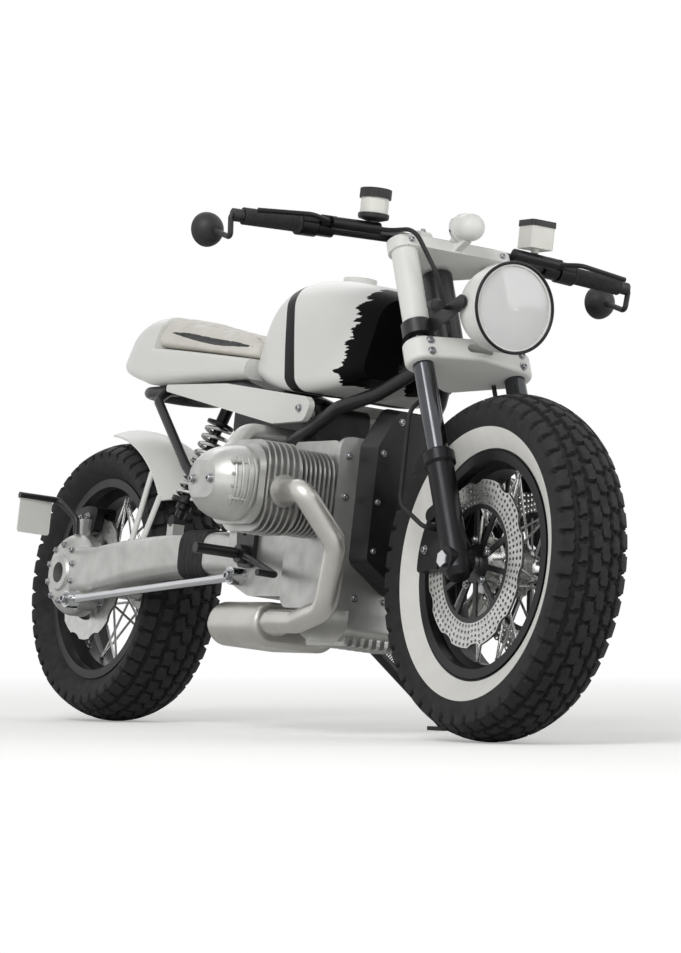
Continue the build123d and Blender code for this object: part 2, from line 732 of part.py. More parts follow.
# Brake hoses: one from the right master cylinder to the lower clamp, and one on to each caliper
HOSE_RADIUS = 4.5
HOSE_ANGLE = radians(CALIPER_START + 9)
HOSE_LIFT = 58
CLAMP_TOP = LOWER_CLAMP_FOOT + LOWER_CLAMP_HEIGHT
hose_start = on_bar(PERCH_Y - CYLINDER_REACH - SEAT_GAP).origin + PERCH_ARM
hose_in = hose_start - BAR_RUN.normalized() * 24
hose_mid = (CALIPER_INNER + CALIPER_OUTER) / 2
feed = tube(
    [
        (hose_start.X, -hose_start.Y, hose_start.Z),
        (hose_in.X, -hose_in.Y, hose_in.Z),
        (64, -118, 690),
        (58, -80, 600),
        (20, -45, CLAMP_TOP + 36),
        (20, -45, CLAMP_TOP + SEAT_GAP),
    ],
    (18, 40, 50, 26),
    HOSE_RADIUS,
)
drop = tube(
    [
        (-30, -75, LOWER_CLAMP_FOOT - SEAT_GAP),
        (-30, -75, LOWER_CLAMP_FOOT - 34),
        (-44, -122, 346),
        ((CALIPER_OUTER + HOSE_LIFT) * cos(HOSE_ANGLE), -CALIPER_HIGH - 34, (CALIPER_OUTER + HOSE_LIFT) * sin(HOSE_ANGLE)),
        (hose_mid * cos(HOSE_ANGLE), -CALIPER_HIGH - 26, hose_mid * sin(HOSE_ANGLE)),
        (hose_mid * cos(HOSE_ANGLE), -CALIPER_HIGH - SEAT_GAP, hose_mid * sin(HOSE_ANGLE)),
    ],
    (22, 36, 30, 16),
    HOSE_RADIUS,
)
with BuildPart() as brake_hoses:
    add(feed)
    add(drop)
    mirror(drop, about=Plane.XZ)
place(brake_hoses.part, "brake_hoses", FORK)

# Sleeves over the fork tubes between the headlight's rings and the upper clamp
with BuildPart() as fork_sleeves:
    with BuildSketch(Plane.XY.offset(RING_Z + RING_HEIGHT + SEAT_GAP)):
        with Locations((0, FORK_HALF), (0, -FORK_HALF)):
            Circle(SLEEVE_RADIUS)
            Circle(TUBE_RADIUS + RUN_GAP, mode=Mode.SUBTRACT)
    extrude(amount=UPPER_CLAMP_FOOT - RING_Z - RING_HEIGHT - 2 * SEAT_GAP)
place(fork_sleeves.part, "fork_sleeves", FORK)

# Headlight: a bowl about the line straight ahead, with its lens set in the rim
LAMP = Vector(LAMP_X, 0, LAMP_Z)
LAMP_SEAT = Location(LAMP, (0, RAKE, 0))
LENS_FOOT = -6
LENS_EDGE = 3
RIM_BACK = -16
with BuildPart() as headlight_shell:
    with BuildSketch(Plane.XY):
        with BuildLine():
            Polyline(
                (LENS_FOOT, 0),
                (LENS_FOOT, LAMP_RADIUS - LAMP_WALL),
                (-LENS_FOOT, LAMP_RADIUS - LAMP_WALL),
                (-LENS_FOOT, LAMP_RADIUS + 3),
                (RIM_BACK + 2, LAMP_RADIUS + 3),
                (RIM_BACK, LAMP_RADIUS),
                (LAMP_RADIUS - LAMP_DEPTH, LAMP_RADIUS),
            )
            CenterArc((LAMP_RADIUS - LAMP_DEPTH, 0), LAMP_RADIUS, 90, 90)
            Line((-LAMP_DEPTH, 0), (LENS_FOOT, 0))
        make_face()
    revolve(axis=Axis.X)
place(headlight_shell.part, "headlight_shell", FORK * LAMP_SEAT)

LENS_RADIUS = LAMP_RADIUS - LAMP_WALL - SEAT_GAP
LENS_CURVE = (LENS_RADIUS ** 2 + LENS_BULGE ** 2) / (2 * LENS_BULGE)
with BuildPart() as headlight_lens:
    with BuildSketch(Plane.XY):
        with BuildLine():
            Polyline(
                (LENS_EDGE + LENS_BULGE, 0),
                (LENS_FOOT + SEAT_GAP, 0),
                (LENS_FOOT + SEAT_GAP, LENS_RADIUS),
                (LENS_EDGE, LENS_RADIUS),
            )
            CenterArc(
                (LENS_EDGE + LENS_BULGE - LENS_CURVE, 0),
                LENS_CURVE,
                0,
                degrees(asin(LENS_RADIUS / LENS_CURVE)),
            )
        make_face()
    revolve(axis=Axis.X)
place(headlight_lens.part, "headlight_lens", FORK * LAMP_SEAT)

# Headlight bracket: a ring on each fork tube and an ear out to the lamp's side
EAR_AT = LAMP - Vector(*AHEAD) * 40
with BuildPart() as ear:
    with BuildSketch(Plane.XY.offset(RING_Z)):
        with Locations((0, FORK_HALF)):
            Circle(RING_RADIUS)
            Circle(TUBE_RADIUS + RUN_GAP, mode=Mode.SUBTRACT)
    extrude(amount=RING_HEIGHT)
    with BuildSketch(Plane.XZ.offset(-EAR_Y)):
        with BuildLine():
            Polyline(
                (TUBE_RADIUS + 2, RING_Z),
                (EAR_AT.X, EAR_AT.Z - 14),
                (EAR_AT.X, EAR_AT.Z + 14),
                (TUBE_RADIUS + 2, RING_Z + RING_HEIGHT),
                close=True,
            )
        make_face()
        with Locations((EAR_AT.X, EAR_AT.Z)):
            Circle(14)
    extrude(amount=-EAR_WALL)
    with BuildSketch(Plane.XZ.offset(-EAR_Y - EAR_WALL)):
        with Locations((EAR_AT.X, EAR_AT.Z)):
            Circle(9)
    extrude(amount=EAR_WALL + 7)
    with BuildSketch(Plane.XZ.offset(-EAR_Y)):
        with Locations((EAR_AT.X - 40, EAR_AT.Z + 10)):
            Circle(5)
    extrude(amount=-(INDICATOR_Y - EAR_Y))
with BuildPart() as headlight_bracket:
    add(ear.part)
    add(LAMP_SEAT * headlight_shell.part, mode=Mode.SUBTRACT)
    mirror(about=Plane.XZ)
place(headlight_bracket.part, "headlight_bracket", FORK)

# Instrument pod: a bullet over the lamp on a short arm from the upper clamp
POD_SEAT = Location((POD_X, 0, POD_Z), (0, RAKE, 0))
with BuildPart() as pod_shell:
    with BuildSketch(Plane.XY):
        with BuildLine():
            Polyline(
                (POD_LENGTH / 2, 0),
                (-POD_LENGTH / 2, 0),
                (-POD_LENGTH / 2, POD_RADIUS + 2),
                (8 - POD_LENGTH / 2, POD_RADIUS + 2),
                (8 - POD_LENGTH / 2, POD_RADIUS),
                (POD_LENGTH / 2 - POD_RADIUS, POD_RADIUS),
            )
            CenterArc((POD_LENGTH / 2 - POD_RADIUS, 0), POD_RADIUS, 0, 90)
        make_face()
    revolve(axis=Axis.X)
with BuildPart() as instrument_pod:
    add(POD_SEAT * pod_shell.part)
    with BuildSketch(Plane.XY.offset(UPPER_CLAMP_FOOT + 4)):
        with Locations((POD_X / 2, 0)):
            Rectangle(POD_X - STEM_BOSS_RADIUS, 16)
    extrude(amount=UPPER_CLAMP_HEIGHT - 8)
    with BuildSketch(Plane.XY.offset(UPPER_CLAMP_FOOT)):
        with Locations((0, FORK_HALF), (0, -FORK_HALF)):
            Circle(CLAMP_EYE_RADIUS - 3 + SEAT_GAP)
        with Locations((-FORK_OFFSET, 0)):
            Circle(STEM_BOSS_RADIUS - 4 + SEAT_GAP)
        make_hull()
    extrude(amount=UPPER_CLAMP_HEIGHT, mode=Mode.SUBTRACT)
place(instrument_pod.part, "instrument_pod", FORK)

# Front indicators on the bracket's side posts
with BuildPart() as indicator:
    with BuildSketch(Plane(origin=(EAR_AT.X - 40, INDICATOR_Y, EAR_AT.Z + 10), z_dir=AHEAD)):
        Circle(INDICATOR_RADIUS)
    extrude(amount=20, taper=12, both=True)
    with BuildSketch(Plane.XZ.offset(-EAR_Y)):
        with Locations((EAR_AT.X - 40, EAR_AT.Z + 10)):
            Circle(5 + RUN_GAP)
    extrude(amount=-(INDICATOR_Y - EAR_Y + RUN_GAP), mode=Mode.SUBTRACT)
with BuildPart() as indicators:
    add(indicator.part)
    mirror(indicator.part, about=Plane.XZ)
place(indicators.part, "indicators", FORK)

# Frame: head tube, backbone, side rails down to the gearbox, seat loop and struts
HEAD_FOOT = LOWER_CLAMP_FOOT + LOWER_CLAMP_HEIGHT + HEAD_TUBE_ROOM
HEAD_TOP = UPPER_CLAMP_FOOT - HEAD_TUBE_ROOM
HEAD_PLANE = Plane(FORK * Location((-FORK_OFFSET, 0, HEAD_FOOT)))


def on_head(height):
    """Point on the steering axis, height above the head tube's foot, in the upright machine."""
    return HEAD_PLANE.from_local_coords((0, 0, height))


RAIL_START = on_head(18)
BACKBONE_START = on_head(62)
rail = tube(
    [
        (RAIL_START.X, 6, RAIL_START.Z),
        (1085, 72, 664),
        (1000, 108, 634),
        (790, 118, 540),
        (650, GEARBOX_HALF + SEAT_GAP + RAIL_RADIUS, 470),
    ],
    60,
    RAIL_RADIUS,
)
strut = tube(
    [
        (240, SEAT_TUBE_Y, SEAT_TUBE_Z),
        (262, 112, 672),
        (432, 120, 526),
        (600, GEARBOX_HALF + SEAT_GAP + STRUT_RADIUS, 400),
    ],
    25,
    STRUT_RADIUS,
)
seat_loop = tube(
    [
        (730, SEAT_TUBE_Y, 654),
        (565, SEAT_TUBE_Y, SEAT_TUBE_Z),
        (SEAT_TUBE_REAR, SEAT_TUBE_Y, SEAT_TUBE_Z),
        (SEAT_TUBE_REAR, -SEAT_TUBE_Y, SEAT_TUBE_Z),
        (565, -SEAT_TUBE_Y, SEAT_TUBE_Z),
        (730, -SEAT_TUBE_Y, 654),
    ],
    60,
    SEAT_TUBE_RADIUS,
)
backbone = tube(
    [tuple(BACKBONE_START), (980, 0, 735), (630, 0, 688)],
    200,
    BACKBONE_RADIUS,
)
with BuildPart() as frame:
    with BuildSketch(HEAD_PLANE):
        Circle(HEAD_TUBE_RADIUS)
    extrude(amount=HEAD_TOP - HEAD_FOOT)
    add(backbone)
    add(rail)
    mirror(rail, about=Plane.XZ)
    add(strut)
    mirror(strut, about=Plane.XZ)
    add(seat_loop)
    for x, z in ((640, 679), (440, SEAT_TUBE_Z)):
        add(rod((x, -SEAT_TUBE_Y, z), (x, SEAT_TUBE_Y, z), STRUT_RADIUS))
    add(rod((1040, SEAT_GAP - TUNNEL_HALF, 750), (1040, TUNNEL_HALF - SEAT_GAP, 750), STRUT_RADIUS))
    with BuildSketch(HEAD_PLANE):
        Circle(STEM_RADIUS + SEAT_GAP)
    extrude(amount=HEAD_TOP - HEAD_FOOT, mode=Mode.SUBTRACT)
place(frame.part, "frame", UPRIGHT)

# Engine and gearbox castings
with BuildPart() as engine_case:
    with BuildSketch(Plane.XZ):
        with BuildLine():
            FilletPolyline(
                (CASE_REAR, CASE_FOOT),
                (CASE_FRONT, CASE_FOOT),
                (CASE_FRONT, CASE_TOP),
                (CASE_REAR, CASE_TOP),
                radius=(30, 12, 40, 12),
                close=True,
            )
        make_face()
    extrude(amount=CASE_HALF, both=True)
    with BuildSketch(Plane.XZ):
        with BuildLine():
            FilletPolyline(
                (CASE_REAR + 40, 262),
                (CASE_REAR + 40, GEARBOX_TOP),
                (GEARBOX_REAR + 90, GEARBOX_TOP),
                (GEARBOX_REAR, 430),
                (GEARBOX_REAR, 296),
                (GEARBOX_REAR + 100, 262),
                radius=(0, 0, 50, 40, 30, 60),
                close=True,
            )
        make_face()
    extrude(amount=GEARBOX_HALF, both=True)
    for x, side in ((RIGHT_CYLINDER_X, -1), (LEFT_CYLINDER_X, 1)):
        with BuildSketch(Plane.XZ.offset(-side * CASE_HALF)):
            with Locations((x, CRANK_Z)):
                Circle(BARREL_RADIUS + 6)
        extrude(amount=-side * 10)
    with BuildSketch(across(CASE_FRONT - CASE_FLANGE, 0, (CASE_FOOT + CASE_TOP + CASE_LIP) / 2)):
        RectangleRounded((CASE_HALF + CASE_LIP) * 2, CASE_TOP + CASE_LIP - CASE_FOOT, 26)
    extrude(amount=CASE_FLANGE)
place(engine_case.part, "engine_case", UPRIGHT)

with BuildPart() as front_cover:
    with BuildSketch(across(CASE_FRONT + SEAT_GAP)):
        with BuildLine():
            FilletPolyline(
                (-COVER_HALF, 330),
                (0, 268),
                (COVER_HALF, 330),
                (COVER_HALF, 560),
                (COVER_HALF * 0.55, 640),
                (-COVER_HALF * 0.55, 640),
                (-COVER_HALF, 560),
                radius=24,
                close=True,
            )
        make_face()
    extrude(amount=COVER_FRONT - CASE_FRONT - SEAT_GAP, taper=10)
place(front_cover.part, "front_cover", UPRIGHT)

with BuildPart() as sump:
    with BuildSketch(Plane.XZ):
        with BuildLine():
            FilletPolyline(
                (905, CASE_FOOT - SEAT_GAP),
                (905, SUMP_FOOT + 20),
                (940, SUMP_FOOT + 8),
                (1050, SUMP_FOOT + 8),
                (1084, SUMP_FOOT + 30),
                (1084, CASE_FOOT - SEAT_GAP),
                radius=(0, 12, 12, 12, 12, 0),
                close=True,
            )
        make_face()
    extrude(amount=SUMP_HALF, both=True)
    for count in range(-4, 5):
        with BuildSketch(Plane.XZ.offset(count * SUMP_HALF / 4.6)):
            with Locations((994, SUMP_FOOT + 12)):
                RectangleRounded(150, 24, 8)
        extrude(amount=FIN_WALL, both=True)
place(sump.part, "sump", UPRIGHT)

# Cylinders, heads and valve covers, built on the right and turned for the left
BARREL_FOOT = CASE_HALF + 10 + SEAT_GAP
HEAD_FOOT_Y = BARREL_FOOT + BARREL_LENGTH + SEAT_GAP
VALVE_FOOT_Y = HEAD_FOOT_Y + HEAD_LENGTH + SEAT_GAP
PIPE_Y = HEAD_FOOT_Y + 38
PIPE_Z = CRANK_Z - 8
INTAKE_Y = HEAD_FOOT_Y + 44
INTAKE_Z = CRANK_Z + 32
PORT_REACH = HEAD_FIN_X / 2 + 4
PORT_BACK = PORT_REACH + SEAT_GAP


def outward(y):
    """Plane across the right cylinder at distance y out, its own axes forward and up."""
    return Plane(origin=(RIGHT_CYLINDER_X, -y, CRANK_Z), x_dir=(1, 0, 0), z_dir=(0, -1, 0))


with BuildPart() as barrel:
    with BuildSketch(outward(BARREL_FOOT)):
        Circle(BARREL_RADIUS)
    extrude(amount=BARREL_LENGTH)
    for count in range(int(BARREL_LENGTH / FIN_PITCH)):
        with BuildSketch(outward(BARREL_FOOT + FIN_WALL + count * FIN_PITCH)):
            RectangleRounded(FIN_X, FIN_Z, FIN_CORNER)
        extrude(amount=FIN_WALL)

with BuildPart() as head:
    with BuildSketch(outward(HEAD_FOOT_Y)):
        RectangleRounded(HEAD_X, HEAD_Z, FIN_CORNER / 2)
    extrude(amount=HEAD_LENGTH)
    for count in range(int(HEAD_LENGTH / FIN_PITCH / 1.3)):
        with BuildSketch(outward(HEAD_FOOT_Y + FIN_WALL + count * FIN_PITCH * 1.3)):
            RectangleRounded(HEAD_FIN_X, HEAD_FIN_Z, FIN_CORNER)
        extrude(amount=FIN_WALL)
    with BuildSketch(across(RIGHT_CYLINDER_X, -PIPE_Y, PIPE_Z)):
        Circle(PIPE_RADIUS + 9)
    extrude(amount=PORT_REACH)
    with BuildSketch(across(RIGHT_CYLINDER_X, -INTAKE_Y, INTAKE_Z)):
        Circle(INTAKE_RADIUS + 6)
    extrude(amount=-PORT_REACH)

with BuildPart() as valve_cover:
    with BuildSketch(outward(VALVE_FOOT_Y)):
        RectangleRounded(VALVE_X, VALVE_Z, FIN_CORNER)
    extrude(amount=14)
    for y, shrink in ((14, 10), (52, 24), (COVER_LENGTH, 84)):
        with BuildSketch(outward(VALVE_FOOT_Y + y)):
            RectangleRounded(VALVE_X - shrink, VALVE_Z - shrink, (VALVE_Z - shrink) / 2 - 6)
    loft()
    for z in (-36, -12, 12, 36):
        with BuildSketch(outward(VALVE_FOOT_Y + 14)):
            with Locations((0, z)):
                RectangleRounded(VALVE_X - 24, 6, 2.5)
        extrude(amount=50)

for right_piece, label in ((barrel, "cylinders"), (head, "heads"), (valve_cover, "valve_covers")):
    with BuildPart() as pair:
        add(right_piece.part)
        add(Pos(LEFT_CYLINDER_X - RIGHT_CYLINDER_X, 0, 0) * right_piece.part.mirror(Plane.XZ))
    place(pair.part, label, UPRIGHT)

# Intakes from the airbox to the heads' rear ports
intake_runs = []
for x, side in ((RIGHT_CYLINDER_X, -1), (LEFT_CYLINDER_X, 1)):
    intake_runs.append(
        tube(
            [
                (x - PORT_BACK, side * INTAKE_Y, INTAKE_Z),
                (x - PORT_BACK - 70, side * INTAKE_Y, INTAKE_Z),
                (770, side * 175, INTAKE_ENTRY_Z),
                (770, side * (AIRBOX_HALF + SEAT_GAP), INTAKE_ENTRY_Z),
            ],
            (50, 45),
            INTAKE_RADIUS,
        )
    )
with BuildPart() as intakes:
    add(intake_runs)
place(intakes.part, "intakes", UPRIGHT)

with BuildPart() as airbox:
    with BuildSketch(Plane.XZ):
        with BuildLine():
            FilletPolyline(
                (GEARBOX_REAR + 90, GEARBOX_TOP + SEAT_GAP),
                (AIRBOX_FRONT, GEARBOX_TOP + SEAT_GAP),
                (AIRBOX_FRONT, AIRBOX_TOP - 16),
                (AIRBOX_REAR, AIRBOX_TOP),
                (AIRBOX_REAR, GEARBOX_TOP + 60),
                radius=(0, 20, 20, 20, 30),
                close=True,
            )
        make_face()
    extrude(amount=AIRBOX_HALF, both=True)
place(airbox.part, "airbox", UPRIGHT)

# Exhaust: each header leaves its head, folds down in front of the case and runs back to the muffler
header_runs = []
for x, side, beside_y, entry_y in ((RIGHT_CYLINDER_X, -1, 150, 92), (LEFT_CYLINDER_X, 1, 118, 38)):
    header_runs.append(
        tube(
            [
                (x + PORT_BACK, side * PIPE_Y, PIPE_Z),
                (1160, side * PIPE_Y, PIPE_Z),
                (1180, side * 184, 352),
                (1128, side * 164, 230),
                (1000, side * 148, MUFFLER_Z),
                (896, side * beside_y, MUFFLER_Z),
                (840, side * entry_y, MUFFLER_Z),
                (MUFFLER_FRONT + SEAT_GAP, side * entry_y, MUFFLER_Z),
            ],
            (24, 46, 50, 60, 40, 30),
            PIPE_RADIUS,
        )
    )
with BuildPart() as exhaust_headers:
    add(header_runs)
place(exhaust_headers.part, "exhaust_headers", UPRIGHT)

with BuildPart() as muffler:
    with BuildSketch(across(MUFFLER_FRONT, MUFFLER_Y, MUFFLER_Z)):
        SlotOverall(MUFFLER_SPAN, MUFFLER_RADIUS * 2)
    extrude(amount=-MUFFLER_LENGTH)
    fillet(muffler.faces().sort_by(Axis.X)[0].edges(), 22)
    fillet(muffler.faces().sort_by(Axis.X)[-1].edges(), 12)
    with BuildSketch(across(MUFFLER_FRONT - MUFFLER_LENGTH + 4, MUFFLER_Y - 45, MUFFLER_Z)):
        Circle(PIPE_RADIUS)
        Circle(PIPE_RADIUS - 3, mode=Mode.SUBTRACT)
    extrude(amount=-46)
place(muffler.part, "muffler", UPRIGHT)

# Swingarm: one casting down the right side, with its cross tube at the gearbox
# Slices: x, y and z of the middle, width across, height
ARM_SLICES = (
    (GEARBOX_REAR - SEAT_GAP, -58, 350, 74, 92),
    (440, -106, 342, 74, 88),
    (260, -134, 322, 68, 98),
    (142, -134, 306, 68, 106),
)
with BuildPart() as swingarm:
    for x, y, z, wide, tall in ARM_SLICES:
        with BuildSketch(across(x, y, z)):
            RectangleRounded(wide, tall, 26)
    loft()
    with BuildSketch(Plane.XZ):
        with Locations((GEARBOX_REAR - 46, 350)):
            Circle(40)
    extrude(amount=84, both=True)
    with BuildSketch(across(400, -112, 392)):
        Rectangle(26, 30)
    extrude(amount=13, both=True)
    split(bisect_by=Plane.YZ.offset(GEARBOX_REAR - SEAT_GAP), keep=Keep.BOTTOM)
place(swingarm.part, "swingarm", UPRIGHT)

# Final drive on the wheel's right, with the hollow stub that carries the hub
LINK_X = 108
LINK_Z = -60
LUG_FACE = -170
LUG_DEPTH = 40
LINK_EYE = 18
with BuildPart() as final_drive:
    with BuildSketch(Plane.YZ):
        with BuildLine():
            Polyline(
                (REAR_HUB_LEFT - 26, STUB_BORE),
                (REAR_HUB_LEFT - 26, STUB_RADIUS),
                (DRIVE_INNER_Y, STUB_RADIUS),
                (DRIVE_INNER_Y, DRIVE_RADIUS),
                (DRIVE_INNER_Y - 26, DRIVE_RADIUS),
            )
            ThreePointArc(
                (DRIVE_INNER_Y - 26, DRIVE_RADIUS),
                (DRIVE_OUTER_Y + 18, DRIVE_RADIUS * 0.84),
                (DRIVE_OUTER_Y + 6, DRIVE_CAP_RADIUS),
            )
            Polyline(
                (DRIVE_OUTER_Y + 6, DRIVE_CAP_RADIUS),
                (DRIVE_OUTER_Y, DRIVE_CAP_RADIUS - 4),
                (DRIVE_OUTER_Y, STUB_BORE),
                (REAR_HUB_LEFT - 26, STUB_BORE),
            )
        make_face()
    revolve(axis=Axis.Y)
    with BuildSketch(across(142 - SEAT_GAP, -134, 306 - REAR_AXLE_Z)):
        RectangleRounded(60, 104, 26)
    extrude(amount=-92)
    with BuildSketch(Plane.XZ.offset(-LUG_FACE)):
        with Locations((LINK_X, LINK_Z)):
            Circle(20)
    extrude(amount=-LUG_DEPTH)
    with BuildSketch(Plane.XZ.offset(-REAR_CALIPER_OUTER_Y + SEAT_GAP)):
        add(sector(DRIVE_RADIUS - 10, REAR_CALIPER_INNER + 24, REAR_CALIPER_START + 6, REAR_CALIPER_SWEEP - 12))
    extrude(amount=REAR_LUG_WALL)
    with BuildSketch(Plane.XZ):
        Circle(STUB_BORE)
    extrude(amount=-2 * DRIVE_OUTER_Y, both=True, mode=Mode.SUBTRACT)
place(final_drive.part, "final_drive", REAR_AXLE)

# Rear caliper over the disc, bolted to the final drive's lug
with BuildPart() as rear_caliper:
    with BuildSketch(Plane.XZ.offset(-REAR_CALIPER_INNER_Y)):
        add(sector(REAR_CALIPER_INNER, REAR_CALIPER_OUTER, REAR_CALIPER_START, REAR_CALIPER_SWEEP))
    extrude(amount=REAR_CALIPER_INNER_Y - REAR_CALIPER_OUTER_Y)
    fillet(rear_caliper.edges().filter_by(GeomType.LINE).filter_by(Axis.Y), 8)
    with BuildSketch(Plane.XZ.offset(-REAR_DISC_Y)):
        Circle(REAR_DISC_RADIUS + DISC_ROOM)
    extrude(amount=DISC_WALL / 2 + DISC_ROOM / 2, both=True, mode=Mode.SUBTRACT)
place(rear_caliper.part, "rear_caliper", REAR_AXLE)

# Torque arm between the final drive's lug and the gearbox's side
LINK_RADIUS = 9
LINK_ROOM = 4
LINK_START = (LINK_X, LUG_FACE - LINK_EYE / 2 - LINK_ROOM, REAR_AXLE_Z + LINK_Z)
LINK_END = (665, -GEARBOX_HALF - LINK_EYE / 2 - LINK_ROOM, 300)
with BuildPart() as torque_arm:
    add(rod(LINK_START, LINK_END, LINK_RADIUS))
    for x, y, z in (LINK_START, LINK_END):
        with BuildSketch(Plane.XZ.offset(-y - LINK_EYE / 2 - LINK_ROOM + SEAT_GAP)):
            with Locations((x, z)):
                Circle(18)
        extrude(amount=LINK_EYE + 2 * LINK_ROOM)
place(torque_arm.part, "torque_arm", UPRIGHT)

# Rear shock: a damper with the turns of its spring as rings, from the swingarm to the seat frame
SHOCK_FOOT = Vector(400, -112, 407 + SEAT_GAP)
SHOCK_TOP = Vector(440, -32, SEAT_TUBE_Z - STRUT_RADIUS - SEAT_GAP)
SHOCK_PLANE = Plane(origin=SHOCK_FOOT, z_dir=SHOCK_TOP - SHOCK_FOOT)
SHOCK_LENGTH = (SHOCK_TOP - SHOCK_FOOT).length
with BuildPart() as rear_shock:
    with BuildSketch(SHOCK_PLANE.offset(4.6)):
        Circle(14)
    extrude(amount=SHOCK_LENGTH - 9.6)
    for count in range(9):
        with BuildSketch(SHOCK_PLANE.offset(60 + count * 18)):
            Circle(29)
        extrude(amount=9)
    with BuildSketch(SHOCK_PLANE.offset(46)):
        Circle(31)
    extrude(amount=10)
place(rear_shock.part, "rear_shock", UPRIGHT)

# Tank, slices from the back: x, low, high, half width low and high, corner radius low and high
TANK_SLICES = (
    (598, 716, 796, 76, 58, 20, 34),
    (692, 694, 884, 116, 84, 24, 56),
    (805, 674, 905, 140, 104, 24, 76),
    (960, 670, 893, 144, 106, 24, 76),
    (1085, 692, 856, 116, 78, 24, 60),
)
tank_body = body_loft(TANK_SLICES)
with BuildPart() as tank:
    add(tank_body)
    with BuildSketch(across(TUNNEL_REAR, 0, TUNNEL_TOP / 2)):
        Rectangle(TUNNEL_HALF * 2, TUNNEL_TOP)
    extrude(amount=WHEELBASE, mode=Mode.SUBTRACT)
    with BuildSketch(Plane.XY.offset(880)):
        with Locations((850, 0)):
            Circle(34)
    extrude(amount=34)
place(tank.part, "tank", UPRIGHT)

# Seat: a hump tail with a low shelf in front of it, and the pad that lies on the shelf
SEAT_FLOOR = SEAT_TUBE_Z + SEAT_TUBE_RADIUS + SEAT_GAP
HUMP_SLICES = (
    (-4, 752, 794, 50, 36, 12, 16),
    (52, 740, 830, 92, 64, 18, 34),
    (130, 724, 856, 116, 80, 20, 46),
    (200, SEAT_FLOOR, 860, 122, 84, 20, 50),
)
SHELF_SLICES = (
    (199, SEAT_FLOOR, 788, 122, 110, 20, 18),
    (400, SEAT_FLOOR, 770, 118, 106, 20, 18),
    (590, SEAT_FLOOR, 752, 104, 92, 20, 18),
)
PAD_SLICES = (
    (200 + SEAT_GAP, 788 + SEAT_GAP, 858, 108, 76, 10, 40),
    (400, 770 + SEAT_GAP, 820, 104, 84, 10, 30),
    (588, 752 + SEAT_GAP, 794, 88, 72, 10, 22),
)
hump = body_loft(HUMP_SLICES)
shelf = body_loft(SHELF_SLICES)
with BuildPart() as seat_cowl:
    add(hump)
    add(shelf)
place(seat_cowl.part, "seat_cowl", UPRIGHT)
place(body_loft(PAD_SLICES), "seat_pad", UPRIGHT)

# Side panels under the seat, each on two posts from the airbox
with BuildPart() as side_panel:
    with BuildSketch(Plane.XZ.offset(-PANEL_INNER)):
        with BuildLine():
            FilletPolyline(
                (345, 698),
                (345, 684),
                (800, 604),
                (925, 606),
                (945, 640),
                (925, 655),
                (600, 692),
                radius=(5, 5, 40, 24, 14, 12, 60),
                close=True,
            )
        make_face()
    extrude(amount=-PANEL_WALL)
    with BuildSketch(Plane.XZ.offset(-AIRBOX_HALF - SEAT_GAP)):
        with Locations((540, 660), (820, 635)):
            Circle(8)
    extrude(amount=-(PANEL_INNER - AIRBOX_HALF))
with BuildPart() as side_panels:
    add(side_panel.part)
    mirror(side_panel.part, about=Plane.XZ)
place(side_panels.part, "side_panels", UPRIGHT)

# Rear fender: a short hugger over the tyre on two stays from the swingarm
FENDER_EDGE = FENDER_RADIUS - FENDER_DROP + FENDER_WALL / 2
fender_stays = []
for angle in (47, 34):
    stay_x = FENDER_EDGE * cos(radians(angle))
    stay_top = (stay_x, 2 - FENDER_HALF, REAR_AXLE_Z + FENDER_EDGE * sin(radians(angle)))
    fender_stays.append(rod(stay_top, (stay_x + 16, -118, 368), STAY_RADIUS))
with BuildPart() as fender_arc:
    with BuildSketch(Plane.XY):
        with BuildLine():
            ThreePointArc(
                (FENDER_RADIUS - FENDER_DROP, -FENDER_HALF),
                (FENDER_RADIUS, 0),
                (FENDER_RADIUS - FENDER_DROP, FENDER_HALF),
            )
            ThreePointArc(
                (FENDER_RADIUS - FENDER_DROP + FENDER_WALL, -FENDER_HALF),
                (FENDER_RADIUS + FENDER_WALL, 0),
                (FENDER_RADIUS - FENDER_DROP + FENDER_WALL, FENDER_HALF),
            )
            for side in (1, -1):
                Line(
                    (FENDER_RADIUS - FENDER_DROP, side * FENDER_HALF),
                    (FENDER_RADIUS - FENDER_DROP + FENDER_WALL, side * FENDER_HALF),
                )
        make_face()
    revolve(axis=Axis((0, 0, 0), (0, -1, 0)), revolution_arc=FENDER_SWEEP)
fender_shell = REAR_AXLE * fender_arc.part.rotate(Axis((0, 0, 0), (0, -1, 0)), FENDER_START)
with BuildPart() as rear_fender:
    add(fender_shell)
    add(fender_stays)
    add(swingarm.part, mode=Mode.SUBTRACT)
place(rear_fender.part, "rear_fender", UPRIGHT)

# Plate bracket low beside the wheel, with its cross bar and bare plate
plate_arm = tube(
    [(-4, -128, REAR_AXLE_Z + 70), (-10, -130, 420), (-60, -150, 458), (-64, -245, 458)],
    18,
    7,
)
with BuildPart() as plate_bracket:
    add(plate_arm)
    with BuildSketch(across(-64, -203, 418)):
        RectangleRounded(76, 76, 6)
    extrude(amount=-4)
    with BuildSketch(Plane.XZ.offset(98)):
        with Locations((0, REAR_AXLE_Z)):
            Circle(DRIVE_RADIUS + SEAT_GAP)
    extrude(amount=40, mode=Mode.SUBTRACT)
place(plate_bracket.part, "plate_bracket", UPRIGHT)

